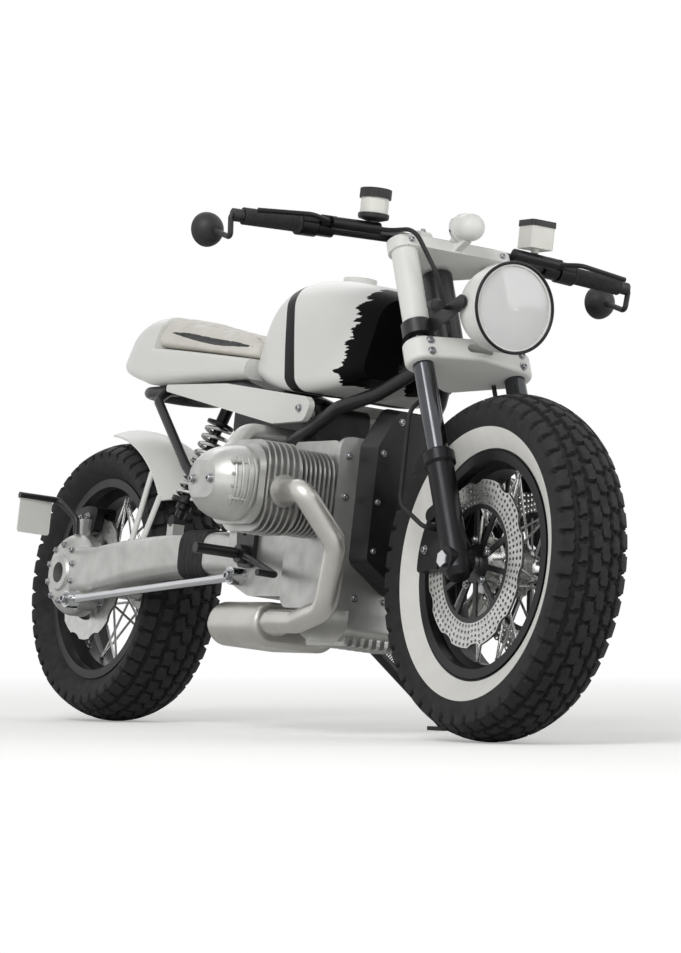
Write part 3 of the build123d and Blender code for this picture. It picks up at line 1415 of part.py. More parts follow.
# Foot brackets: a pierced plate on each side of the gearbox with its peg
FOOT_PLATE_Y = GEARBOX_HALF + SEAT_GAP
with BuildPart() as foot_bracket:
    with BuildSketch(Plane.XZ.offset(-FOOT_PLATE_Y)):
        with BuildLine():
            FilletPolyline(
                (640, 430), (720, 430), (PEG_X + 30, PEG_Z - 26), (PEG_X - 30, PEG_Z - 26),
                radius=16,
                close=True,
            )
        make_face()
        with Locations((682, 398)):
            Circle(15, mode=Mode.SUBTRACT)
    extrude(amount=-FOOT_PLATE_WALL)
    with BuildSketch(Plane.XZ.offset(-FOOT_PLATE_Y)):
        with Locations((PEG_X, PEG_Z)):
            Circle(PEG_ROOT_RADIUS)
    extrude(amount=-FOOT_PLATE_WALL - PEG_ROOT_LENGTH)
    with BuildSketch(Plane.XZ.offset(-FOOT_PLATE_Y - FOOT_PLATE_WALL - PEG_ROOT_LENGTH)):
        with Locations((PEG_X, PEG_Z)):
            Circle(PEG_RADIUS)
    extrude(amount=-PEG_LENGTH)
with BuildPart() as foot_brackets:
    add(foot_bracket.part)
    mirror(foot_bracket.part, about=Plane.XZ)
place(foot_brackets.part, "foot_brackets", UPRIGHT)

# Foot levers: brake pedal on the right, gear lever on the left, each turning on its peg's root
LEVER_Y = FOOT_PLATE_Y + FOOT_PLATE_WALL + SEAT_GAP
lever_runs = []
for side, toe_x, toe_z in ((-1, 925, 296), (1, 905, 318)):
    lever_runs.append(
        tube(
            [
                (PEG_X, side * (LEVER_Y + 9), PEG_Z),
                (PEG_X + 90, side * (LEVER_Y + 16), PEG_Z - 22),
                (toe_x, side * (LEVER_Y + 60), toe_z),
                (toe_x + 4, side * (LEVER_Y + 104), toe_z),
            ],
            (60, 14),
            7,
        )
    )
with BuildPart() as foot_levers:
    add(lever_runs)
    for side in (1, -1):
        with BuildSketch(Plane.XZ.offset(-side * LEVER_Y)):
            with Locations((PEG_X, PEG_Z)):
                Circle(19)
        extrude(amount=-side * 18)
    with BuildSketch(Plane.XZ):
        with Locations((PEG_X, PEG_Z)):
            Circle(PEG_ROOT_RADIUS + RUN_GAP)
    extrude(amount=LEVER_Y * 2, both=True, mode=Mode.SUBTRACT)
place(foot_levers.part, "foot_levers", UPRIGHT)

# Side stand: it turns on a pin whose axis lies square to both its down and its folded run
PIVOT = Vector(STAND_X, STAND_Y, STAND_Z)
FOOT = Vector(STAND_FOOT_X, STAND_FOOT_Y, STAND_FOOT_Y * tan(radians(LEAN)))
FOLDED = Vector(-1, 0.1, 0.05)
STAND_AXIS = (FOOT - PIVOT).cross(FOLDED).normalized()
PIN_PLANE = Plane(origin=PIVOT, z_dir=STAND_AXIS)
leg = rod(PIVOT, FOOT + Vector(*FLOOR_UP) * FOOT_PAD_WALL, STAND_LEG_RADIUS)
with BuildPart() as side_stand:
    add(leg)
    with BuildSketch(PIN_PLANE):
        Circle(STAND_EYE_RADIUS)
    extrude(amount=STAND_EYE_LENGTH / 2, both=True)
    with BuildSketch(Plane(origin=FOOT, x_dir=(1, 0, 0), z_dir=FLOOR_UP)):
        RectangleRounded(76, 52, 14)
    extrude(amount=FOOT_PAD_WALL)
    with BuildSketch(PIN_PLANE):
        Circle(STAND_PIN_RADIUS + RUN_GAP)
    extrude(amount=STAND_EYE_LENGTH, both=True, mode=Mode.SUBTRACT)
place(side_stand.part, "side_stand", UPRIGHT)

stand_arm = rod(
    (STAND_X, GEARBOX_HALF + SEAT_GAP + 12, 290), PIVOT + STAND_AXIS * (STAND_EYE_LENGTH / 2 + 14), 13
)
with BuildPart() as stand_bracket:
    with BuildSketch(Plane.XZ.offset(-GEARBOX_HALF - SEAT_GAP)):
        with Locations((STAND_X, 290)):
            RectangleRounded(70, 44, 10)
    extrude(amount=-14)
    add(stand_arm)
    with BuildSketch(PIN_PLANE.offset(-STAND_EYE_LENGTH / 2 - 6)):
        Circle(STAND_PIN_RADIUS)
    extrude(amount=STAND_EYE_LENGTH + 16)
    with BuildSketch(PIN_PLANE.offset(-STAND_EYE_LENGTH / 2 - SEAT_GAP)):
        Circle(STAND_EYE_RADIUS + 4)
        Circle(STAND_PIN_RADIUS, mode=Mode.SUBTRACT)
    extrude(amount=STAND_EYE_LENGTH + 2 * SEAT_GAP, mode=Mode.SUBTRACT)
place(stand_bracket.part, "stand_bracket", UPRIGHT)
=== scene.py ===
"""Looks of a parked cafe racer motorcycle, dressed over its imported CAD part.

The solids carry the shapes. This file gives every surface its finish and makes what the
solids leave out: tyre tread, spoke nipples, drilled discs, the sewn seat, ribbed grips,
glass, springs, a gaiter, cover ribs and fasteners. Sizes are in millimetres on the upright
machine, or in the frame of its fork, and are turned into the parked frame in metres.
"""

import bmesh
import bpy
import numpy as np
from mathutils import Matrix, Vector


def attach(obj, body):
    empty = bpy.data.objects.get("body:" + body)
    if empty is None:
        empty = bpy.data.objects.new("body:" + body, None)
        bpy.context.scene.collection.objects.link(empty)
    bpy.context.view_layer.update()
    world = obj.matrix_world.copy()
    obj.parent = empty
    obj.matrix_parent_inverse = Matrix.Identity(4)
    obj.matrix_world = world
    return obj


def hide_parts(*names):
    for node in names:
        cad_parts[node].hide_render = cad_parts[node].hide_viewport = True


bl_info = {
    "name": "Cafe Racer Dress",
    "version": (1, 0, 0),
    "blender": (4, 5, 0),
    "location": "View3D > Sidebar > Racer",
    "description": "Finishes, tread, seat, drilled discs and trim of a parked cafe racer",
    "category": "Object",
}

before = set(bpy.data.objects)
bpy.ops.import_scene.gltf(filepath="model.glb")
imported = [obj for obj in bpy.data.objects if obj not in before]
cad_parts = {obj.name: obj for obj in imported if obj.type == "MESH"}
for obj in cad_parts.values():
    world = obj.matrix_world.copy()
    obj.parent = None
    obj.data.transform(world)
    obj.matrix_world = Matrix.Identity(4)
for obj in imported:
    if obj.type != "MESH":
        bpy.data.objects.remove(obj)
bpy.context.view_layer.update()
finishes = {}

# Sizes taken from the solids, some of them with a little room
LEAN = np.radians(7.2)
RAKE = np.radians(27)
WHEELBASE = 1490
ORIGIN_X = 760
ORIGIN_Y = 118
FORK_HALF = 105
DISC_Y = 60.8
CRANK_Z = 455
FRONT_RIM_WIDTH = 96
REAR_RIM_WIDTH = 122
TYRE_LIP = 216.3
TYRE_FOOT = 203.3
SPOKE_HUB_RADIUS = 48.8
SPOKE_RIM_RADIUS = 191
SPOKES_A_SIDE = 16
LACING = np.radians(34)
UNDER_WELL_RADIUS = 185.4
PAD_BACK = 200.5
PAD_FRONT = 588
GRIP_START = 316
CAP_FOOT = 63.5
BAR_BEND = np.array((-24.0, 120, 726))
BAR_END = np.array((-44.0, 445, 722))
LAMP = np.array((171.0, 0, 472))
POD = np.array((84.0, 0, 704))
STAND_PIVOT = np.array((800.0, 125, 205))
STAND_FOOT = np.array((870.0, 300, 37.9))
SHOCK_LOW = np.array((400.0, -112, 407.3))
SHOCK_HIGH = np.array((440.0, -32, 686.7))
PLATE_MIDDLE = (-64, -203, 418)
FILLER = (850.0, 0, 900)
# Radius and width of each tyre, and the drop of its crown
FRONT_TYRE = (330, 146, 26)
REAR_TYRE = (300, 170, 30)
# Each reservoir's place along the bar and its side, and the step from the bar to its seat
RESERVOIRS = ((172, -1), (206, 1))
RESERVOIR_STEP = (28, 0, -6)
# Each side's name, its way along Y and the place of its cylinder
SIDES = (("right", -1, 1000), ("left", 1, 1030))
# Seat pad in rows along the machine: place, floor, top and half widths below and above
PAD_ROWS = np.array((
    (PAD_BACK, 788.5, 857, 108, 76),
    (400, 770.5, 820, 104, 84),
    (PAD_FRONT, 752.5, 794, 88, 72),
))

# Sizes of the dress alone
WHITEWALL_RADIUS = 262
SEAM_PITCH = 52
# Stuffing of the seat: the cover's grid in metres, its pressure and the frames that it takes
VOXEL = 0.005
STUFFING_PRESSURE = 4.0
STUFFING_FRAMES = 20
# Rays that seat a piece: their start in metres, and the least dot product of a normal with the way out
RAY_START = 0.09
LEAST_FACING = 0.6


def axle_height(radius, width, drop):
    """Height of an axle whose leaned tyre meets the floor: radius - crown + crown / cos(lean)."""
    crown = ((width / 2) ** 2 + drop ** 2) / (2 * drop)
    return radius - crown + crown / np.cos(LEAN)


FRONT_AXLE_Z = axle_height(*FRONT_TYRE)
REAR_AXLE_Z = axle_height(*REAR_TYRE)


def upright(points):
    """Points of the upright machine, leaned about X, moved to the origin under the box and put in metres."""
    x, y, z = np.moveaxis(np.asarray(points, float), -1, 0)
    leaned = (
        x - ORIGIN_X,
        y * np.cos(LEAN) + z * np.sin(LEAN) - ORIGIN_Y,
        z * np.cos(LEAN) - y * np.sin(LEAN),
    )
    return np.stack(leaned, -1) / 1000


def fallen(points):
    """Parked points in metres put back on the upright machine in mm: the lean undone about X."""
    x, y, z = np.moveaxis(np.asarray(points, float) * 1000, -1, 0)
    y = y + ORIGIN_Y
    level, height = y * np.cos(LEAN) - z * np.sin(LEAN), y * np.sin(LEAN) + z * np.cos(LEAN)
    return np.stack((x + ORIGIN_X, level, height), -1)


def raked(points):
    """Points in the fork's frame, axle at 0 and Z up the tubes, turned by the rake into the upright one."""
    x, y, z = np.moveaxis(np.asarray(points, float), -1, 0)
    turned = (
        WHEELBASE + x * np.cos(RAKE) - z * np.sin(RAKE),
        y,
        FRONT_AXLE_Z + x * np.sin(RAKE) + z * np.cos(RAKE),
    )
    return np.stack(turned, -1)


def on_fork(points):
    """Points in the fork's frame, put in the parked frame."""
    return upright(raked(points))


def on_rear_axle(points):
    """Points about the rear axle, moved up to its height and put in the parked frame."""
    return upright(np.asarray(points, float) + (0, 0, REAR_AXLE_Z))


def on_bar(along, side):
    """Point of the handlebar's straight end at that width, and its way outwards, in the fork's frame."""
    share = (along - BAR_BEND[1]) / (BAR_END[1] - BAR_BEND[1])
    reach = BAR_END - BAR_BEND
    flip = np.array((1, side, 1))
    return (BAR_BEND + reach * share) * flip, reach / np.linalg.norm(reach) * flip


def grid_faces(rows, columns, wrap_rows=False, wrap_columns=False):
    """Corners of the quads of a rows by columns grid; a wrapped way joins its last line to its first."""
    row = np.arange(rows if wrap_rows else rows - 1)[:, None]
    column = np.arange(columns if wrap_columns else columns - 1)[None, :]
    next_row, next_column = (row + 1) % rows, (column + 1) % columns
    corners = (
        row * columns + column,
        row * columns + next_column,
        next_row * columns + next_column,
        next_row * columns + column,
    )
    return np.stack(np.broadcast_arrays(*corners), -1).reshape(-1, 4)


def joined(parts):
    """Several pairs of points and faces as one pair, the faces' corners counted on from pair to pair."""
    starts = np.cumsum([0] + [points.size // 3 for points, faces in parts])
    points = np.concatenate([points.reshape(-1, 3) for points, faces in parts])
    return points, np.concatenate([faces + start for (_, faces), start in zip(parts, starts)])


def piece(name, body, points, faces, finish, sharp=35, second=None, choice=None):
    """Closed mesh that rides on a body, its faces outwards and smooth but for edges sharper than an angle.

    The faces that the choice marks wear the second finish.
    """
    mesh = bpy.data.meshes.new(name)
    mesh.from_pydata(points.reshape(-1, 3).tolist(), [], faces.tolist())
    mesh.materials.append(finishes[finish])
    if second:
        mesh.materials.append(finishes[second])
        mesh.polygons.foreach_set("material_index", choice.astype(np.int32).ravel())
    shell = bmesh.new()
    shell.from_mesh(mesh)
    bmesh.ops.remove_doubles(shell, verts=shell.verts, dist=1e-6)
    bmesh.ops.recalc_face_normals(shell, faces=shell.faces)
    shell.to_mesh(mesh)
    shell.free()
    mesh.polygons.foreach_set("use_smooth", np.ones(len(mesh.polygons), bool))
    mesh.set_sharp_from_angle(angle=np.radians(sharp))
    made = bpy.data.objects.new(name, mesh)
    bpy.context.collection.objects.link(made)
    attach(made, body)
    return made


def spun(profile, steps, axis=2):
    """Profile of (radius, along) rows carried round an axis: radius * cos, radius * sin and along."""
    turn = np.linspace(0, 2 * np.pi, steps, endpoint=False)[:, None]
    radius, along = np.asarray(profile, float).T
    round_x, round_z = radius * np.cos(turn), radius * np.sin(turn)
    level = np.broadcast_to(along, round_x.shape)
    order = {0: (level, round_x, round_z), 1: (round_x, level, round_z), 2: (round_x, round_z, level)}[axis]
    return np.stack(order, -1)


def frame_on(direction):
    """Each direction as a unit vector and two more square to it, by cross products with its flattest axis."""
    along = np.asarray(direction, float)
    along = along / np.linalg.norm(along, axis=-1, keepdims=True)
    flattest = np.eye(3)[np.argmin(np.abs(along), axis=-1)]
    side = np.cross(along, flattest)
    side = side / np.linalg.norm(side, axis=-1, keepdims=True)
    return along, side, np.cross(along, side)


def repeated(shape, faces, places, direction):
    """One small shape set at each place, its own Z along one direction or each place's own.

    Each point: place + x * side + y * other + z * along.
    """
    places = np.asarray(places, float).reshape(-1, 3)
    along, side, other = frame_on(np.broadcast_to(np.asarray(direction, float), places.shape))
    x, y, z = np.moveaxis(np.asarray(shape, float).reshape(-1, 3), -1, 0)[..., None, :, None]
    placed = places[:, None, :] + x * side[:, None, :] + y * other[:, None, :] + z * along[:, None, :]
    offsets = np.arange(len(placed))[:, None, None] * placed.shape[1]
    return placed, (faces[None] + offsets).reshape(-1, faces.shape[1])


def seated(node, places, direction, place):
    """Where rays against a direction meet a CAD node, and its normals there, in the parked frame."""
    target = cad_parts[node]
    bpy.context.view_layer.update()
    back = target.matrix_world.inverted()
    places = np.asarray(places, float).reshape(-1, 3)
    found = []
    for at, way in zip(place(places), place(places + direction) - place(places)):
        way = way / np.linalg.norm(way)
        start = back @ Vector(at + way * RAY_START)
        hit, spot, normal, face = target.ray_cast(start, back.to_3x3() @ Vector(-way))
        if hit and normal.dot(Vector(way)) > LEAST_FACING:
            found.append((*(target.matrix_world @ spot), *normal))
    if not found:
        raise RuntimeError(f"no ray meets {node}")
    found = np.array(found)
    return found[:, :3], found[:, 3:]


def face_centres(node):
    """Middles of a CAD node's faces."""
    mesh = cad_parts[node].data
    centre = np.empty(len(mesh.polygons) * 3)
    mesh.polygons.foreach_get("center", centre)
    return centre.reshape(-1, 3)


def wear_second(node, finish, chosen):
    """Gives the chosen faces of a CAD node a second finish."""
    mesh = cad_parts[node].data
    mesh.materials.append(finishes[finish])
    mesh.polygons.foreach_set("material_index", chosen.astype(np.int32))


def linear(code):
    """sRGB hex colour as linear RGBA: below 0.04045 divided by 12.92, above it raised to 2.4."""
    channel = np.array([int(code[at:at + 2], 16) for at in (1, 3, 5)]) / 255
    bright = ((channel + 0.055) / 1.055) ** 2.4
    return (*np.where(channel <= 0.04045, channel / 12.92, bright).tolist(), 1.0)


def add_node(tree, kind, feeds=(), **settings):
    """Adds one node: each setting is one of its properties or else an input's value.

    Each feed names an input and the socket or the value that it takes.
    """
    made = tree.nodes.new("ShaderNode" + kind)
    for key, value in settings.items():
        if key in made.bl_rna.properties:
            setattr(made, key, value)
        else:
            made.inputs[key].default_value = value
    for socket, source in feeds:
        if isinstance(source, bpy.types.NodeSocket):
            tree.links.new(source, made.inputs[socket])
        else:
            made.inputs[socket].default_value = source
    return made


def calc(tree, operation, *feeds):
    """Socket with the result of an operation on sockets or numbers."""
    return add_node(tree, "Math", enumerate(feeds), operation=operation).outputs["Value"]


def reach_along(tree, place, way):
    """Socket with how far a place lies along a way: their dot product."""
    return add_node(tree, "VectorMath", [(0, place), (1, way)], operation="DOT_PRODUCT").outputs["Value"]


def ranged(tree, source, low, high, least, most):
    """Socket that goes from least to most while its source goes from low to high."""
    ends = {"From Min": low, "From Max": high, "To Min": least, "To Max": most}
    return add_node(tree, "MapRange", [("Value", source)], **ends).outputs["Result"]


def make_finish(name, tones, rough, cloud, grain, relief, metal=0.0, **shader):
    """Surface whose tones and roughness follow a slow cloud, with relief from a fine grain; sizes in mm."""
    made = bpy.data.materials.new(name)
    made.use_nodes = True
    tree = made.node_tree
    surface = tree.nodes["Principled BSDF"]
    surface.inputs["Metallic"].default_value = metal
    for socket, value in shader.items():
        surface.inputs[socket.replace("_", " ")].default_value = value
    place = add_node(tree, "TexCoord").outputs["Object"]
    drift = add_node(tree, "TexNoise", [("Vector", place)], Scale=1000 / cloud, Detail=5.0).outputs["Fac"]
    tone = add_node(tree, "MixRGB", [("Fac", drift)], Color1=linear(tones[0]), Color2=linear(tones[1]))
    fine = add_node(tree, "TexNoise", [("Vector", place)], Scale=1000 / grain, Detail=3.0).outputs["Fac"]
    bump = add_node(tree, "Bump", [("Height", fine)], Distance=relief / 1000, Strength=1.0)
    tree.links.new(tone.outputs["Color"], surface.inputs["Base Color"])
    tree.links.new(ranged(tree, drift, 0.3, 0.7, *rough), surface.inputs["Roughness"])
    tree.links.new(bump.outputs["Normal"], surface.inputs["Normal"])
    return made


def dye(made, share, code):
    """Colours a finish over where the share is one."""
    tree = made.node_tree
    base = tree.nodes["Principled BSDF"].inputs["Base Color"]
    tone = base.links[0].from_socket
    dyed = add_node(tree, "MixRGB", [("Fac", share), ("Color1", tone)], Color2=linear(code))
    tree.links.new(dyed.outputs["Color"], base)


def white_lacquer(name, paint):
    """Even satin white of the painted panels."""
    tones = (paint.white, paint.white_shade)
    return make_finish(name, tones, (0.3, 0.4), 240, 6, 0.01, Specular_IOR_Level=0.3)


def banded_lacquer_with_painted_shade(paint):
    """White lacquer with a black band round the tank, and black painted shade over its front whose edge is
    ragged.

    Band: |x + slope * z - middle| under half its width. Painted shade: x + slope * z past an edge that noise
    shifts.
    """
    made = white_lacquer("tank_lacquer_with_painted_shade", paint)
    tree = made.node_tree
    place = add_node(tree, "TexCoord").outputs["Object"]
    band_middle, band_half = 0.481, 0.022
    off = calc(tree, "SUBTRACT", reach_along(tree, place, (1.0, 0.0, 0.55)), band_middle)
    band = calc(tree, "LESS_THAN", calc(tree, "ABSOLUTE", off), band_half)
    # Painted shade on the tank's front, black, its edge made ragged by streaked noise
    shade_edge_spread, shade_edge = 0.09, 0.235
    shade_edge_streaks = add_node(tree, "Mapping", [("Vector", place)], Scale=(14, 14, 120)).outputs["Vector"]
    shade_edge_noise = add_node(tree, "TexNoise", [("Vector", shade_edge_streaks)], Scale=1.0, Detail=6.0).outputs["Fac"]
    ragged_shade_reach = calc(tree, "MULTIPLY_ADD", shade_edge_noise, shade_edge_spread, reach_along(tree, place, (1.0, 0.0, -0.1)))
    black = calc(tree, "MAXIMUM", band, calc(tree, "GREATER_THAN", ragged_shade_reach, shade_edge))
    dye(made, black, paint.black)
    sheen = ranged(tree, black, 0.0, 1.0, 0.3, 0.04)
    tree.links.new(sheen, tree.nodes["Principled BSDF"].inputs["Specular IOR Level"])
    return made


def leather_with_painted_side_shade(paint):
    """Pale leather, black where its attribute is above zero: a strip of painted shade along each side of the
    pad.
    """
    made = make_finish("pale_full_grain_leather", (paint.leather, "#D3CFC6"), (0.45, 0.6), 50, 2.2, 0.25)
    strip = add_node(made.node_tree, "Attribute", attribute_name="painted_side_shade").outputs["Fac"]
    dye(made, calc(made.node_tree, "GREATER_THAN", strip, 0.001), paint.black)
    return made


# Plain finishes: name, two tones, least and most roughness, size of cloud and grain, relief and metal
PLAIN_FINISHES = {
    # Powder coat, baked: soft black sheen with a faint pebble
    "powder": ("satin_black_powder_coat", ("#101011", "#1A1A1C"), (0.32, 0.45), 40, 1.2, 0.06),
    # Sand-cast alloy, bead blasted: pale grey, cloudy, finely pitted
    "cast": ("bead_blasted_cast_alloy", ("#C9C9C6", "#A9A9A7"), (0.34, 0.5), 35, 0.9, 0.08, 0.85),
    # Black anodised alloy: dark metal with a silky lustre
    "anodised": ("black_anodised_alloy", ("#151517", "#242427"), (0.28, 0.4), 50, 0.8, 0.02, 0.6),
    # Hard chrome on ground steel: mirror bright
    "chrome": ("hard_chromed_steel", ("#D4D5D7", "#C2C3C6"), (0.06, 0.12), 90, 2, 0.003, 1.0),
    # Hard chrome on ground steel, its colour darkened as painted dark reflection: grey with a sharp bright
    # line
    "stanchion": ("chrome_darkened_as_painted_reflection", ("#5E5F62", "#4A4B4E"), (0.1, 0.18), 70, 2, 0.004, 1.0),
    # Blank aluminium plate: flat white paint
    "blank": ("blank_white_plate", ("#EEEEEA", "#E2E2DD"), (0.45, 0.55), 60, 2, 0.02),
    # Drawn stainless wire: bright with a slight haze
    "wire": ("drawn_stainless_wire", ("#C6C6C4", "#ADADAC"), (0.2, 0.32), 25, 1, 0.01, 1.0),
    # Ground stainless disc: pale grey, a little cloudy
    "disc": ("ground_disc_steel", ("#D2D2D0", "#B4B4B2"), (0.22, 0.36), 18, 0.8, 0.02, 0.9),
    # Stainless exhaust tube, blasted pale
    "exhaust": ("blasted_stainless_tube", ("#D6D4CE", "#B9B7B2"), (0.26, 0.4), 70, 0.9, 0.03, 0.9),
    # Vulcanised tread rubber: nearly black, matt, dusty in the cloud
    "tread": ("vulcanised_tread_rubber", ("#0D0D0D", "#1B1B1B"), (0.7, 0.9), 22, 1.0, 0.12),
    # White sidewall rubber: chalky, greyer in the cloud
    "whitewall": ("white_sidewall_rubber", ("#EDECE8", "#DBDAD5"), (0.55, 0.7), 40, 1.0, 0.05),
    # Soft grip rubber: black and matt
    "grip": ("moulded_grip_rubber", ("#0F0F10", "#1C1C1D"), (0.6, 0.8), 14, 0.7, 0.08),
    # Glass-filled nylon, moulded with a spark-eroded texture
    "nylon": ("moulded_black_nylon", ("#131314", "#1E1E20"), (0.45, 0.6), 30, 0.8, 0.08),
    # Polyethylene bottle: milky and waxy
    "bottle": ("milky_polyethylene", ("#E9E8E2", "#D9D8D0"), (0.35, 0.45), 30, 2, 0.02),
    # Zinc-plated steel fasteners: grey, cloudy from screw to screw
    "zinc": ("zinc_plated_steel", ("#B9BABC", "#8F9092"), (0.25, 0.4), 8, 0.8, 0.02, 1.0),
    # Silvered mirror glass
    "mirror": ("silvered_mirror", ("#DDE0E2", "#D5D8DA"), (0.02, 0.03), 60, 20, 0.001, 1.0),
    # Waxed polyester thread: pale grey
    "thread": ("waxed_polyester_thread", ("#A8A6A0", "#8E8C86"), (0.5, 0.6), 5, 0.5, 0.05),
    # Printed dial card: flat white
    "dial": ("printed_dial_card", ("#F0F0EC", "#E4E4E0"), (0.6, 0.7), 20, 1, 0.01),
}

# Which CAD nodes wear a finish
WORN = {
    "lacquer": (
        "seat_cowl", "side_panels", "rear_fender", "headlight_shell", "fork_sleeves", "lower_clamp",
        "upper_clamp", "instrument_pod",
    ),
    "tank": ("tank",),
    "powder": (
        "frame", "handlebar", "headlight_bracket", "plate_bracket", "stand_bracket", "side_stand",
        "foot_brackets", "foot_levers", "front_cover", "disc_carriers",
    ),
    "cast": (
        "engine_case", "sump", "cylinders", "heads", "valve_covers", "swingarm", "final_drive", "intakes",
    ),
    "exhaust": ("muffler", "exhaust_headers"),
    "anodised": ("rim_front", "rim_rear", "fork_sliders", "calipers", "hand_controls", "rear_caliper"),
    "chrome": ("front_axle", "torque_arm"),
    "stanchion": ("fork_tubes",),
    "wire": ("spokes_front", "spokes_rear", "rear_shock"),
    "disc": ("discs_front", "disc_rear"),
    "tread": ("tyre_front", "tyre_rear"),
    "grip": ("grips", "brake_hoses"),
    "leather": ("seat_pad",),
    "nylon": ("airbox", "mirrors", "indicators"),
    "bottle": ("reservoirs",),
    "glass": ("headlight_lens",),
}


class RacerPaint(bpy.types.PropertyGroup):
    """Colours of the machine, as sRGB hex codes."""

    white: bpy.props.StringProperty(name="White", description="Lacquer of tank and seat", default="#EDEDEA")
    white_shade: bpy.props.StringProperty(
        name="White shade", description="Lacquer in its slow drift", default="#E2E2DE"
    )
    # Black of the tank's band, and of the painted shade on the tank's front and along the seat pad's sides
    black: bpy.props.StringProperty(name="Black", description="Bands on the tank", default="#0C0C0D")
    leather: bpy.props.StringProperty(name="Leather", description="Seat cover", default="#E6E3DC")


class RacerTread(bpy.types.PropertyGroup):
    """Tread of both tyres."""

    depth: bpy.props.FloatProperty(name="Depth", description="Depth of the tread grooves in mm", default=8.0)
    blocks: bpy.props.IntProperty(name="Blocks", description="Tread blocks round a tyre", default=46)
    groove: bpy.props.FloatProperty(
        name="Groove", description="Share of a block's pitch that is groove", default=0.2, subtype="FACTOR"
    )


class RacerSeat(bpy.types.PropertyGroup):
    """Sewn seat pad."""

    swell: bpy.props.FloatProperty(
        name="Swell", description="Most that the stuffing lifts the cover, in mm", default=8.0
    )
    seam: bpy.props.FloatProperty(name="Seam", description="Depth of the sewn channels in mm", default=8.0)
    stitch: bpy.props.FloatProperty(name="Stitch", description="Pitch of the stitches in mm", default=6.5)


class RacerTrim(bpy.types.PropertyGroup):
    """Small sizes of the trim."""

    screw: bpy.props.FloatProperty(
        name="Screw", description="Thread radius of the case screws in mm", default=4.0
    )
    hole: bpy.props.FloatProperty(
        name="Hole", description="Share of a disc cell that its hole takes", default=0.56, subtype="FACTOR"
    )
    ribs: bpy.props.FloatProperty(name="Ribs", description="Pitch of the grip ribs in mm", default=5.5)


class RacerStage(bpy.types.PropertyGroup):
    """Floor, light and camera."""

    floor: bpy.props.StringProperty(name="Floor", description="Colour of the floor", default="#F4F4F2")
    key: bpy.props.FloatProperty(
        name="Key", description="Power of the main softbox", default=190.0, unit="POWER"
    )
    lens: bpy.props.FloatProperty(
        name="Lens", description="Focal length for a 36 mm long side", default=179.66
    )


class RACER_OT_finishes(bpy.types.Operator):
    """Make the finishes and give one to every CAD node"""

    bl_idname = "racer.finishes"
    bl_label = "Finishes"

    def execute(self, context):
        paint = context.scene.racer_paint
        for finish, row in PLAIN_FINISHES.items():
            finishes[finish] = make_finish(*row)
        # Two-pack lacquer, sprayed and flatted: even satin white
        finishes["lacquer"] = white_lacquer("white_lacquer", paint)
        # White lacquer with a black band, and black painted shade on the tank's front
        finishes["tank"] = banded_lacquer_with_painted_shade(paint)
        # Full-grain leather, drum dyed pale: fine creases and a dull sheen, and black painted shade along
        # each side
        finishes["leather"] = leather_with_painted_side_shade(paint)
        # Pressed lamp glass, slightly cool, only half clear: its white is painted reflection of the lamp's
        # bright inside
        finishes["glass"] = make_finish(
            "lamp_glass_whitened_as_painted_reflection", ("#FDFDFC", "#F4F5F5"), (0.04, 0.08), 80, 20, 0.01,
            Transmission_Weight=0.45, IOR=1.5,
        )
        for finish, nodes in WORN.items():
            for node in nodes:
                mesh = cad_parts[node].data
                mesh.materials.clear()
                mesh.materials.append(finishes[finish])

        # The number plate's own faces, blank and pale on its dark bracket
        away = np.abs(fallen(face_centres("plate_bracket")) - PLATE_MIDDLE)
        wear_second("plate_bracket", "blank", np.all(away < (4.5, 39, 39), axis=1))
        return {"FINISHED"}


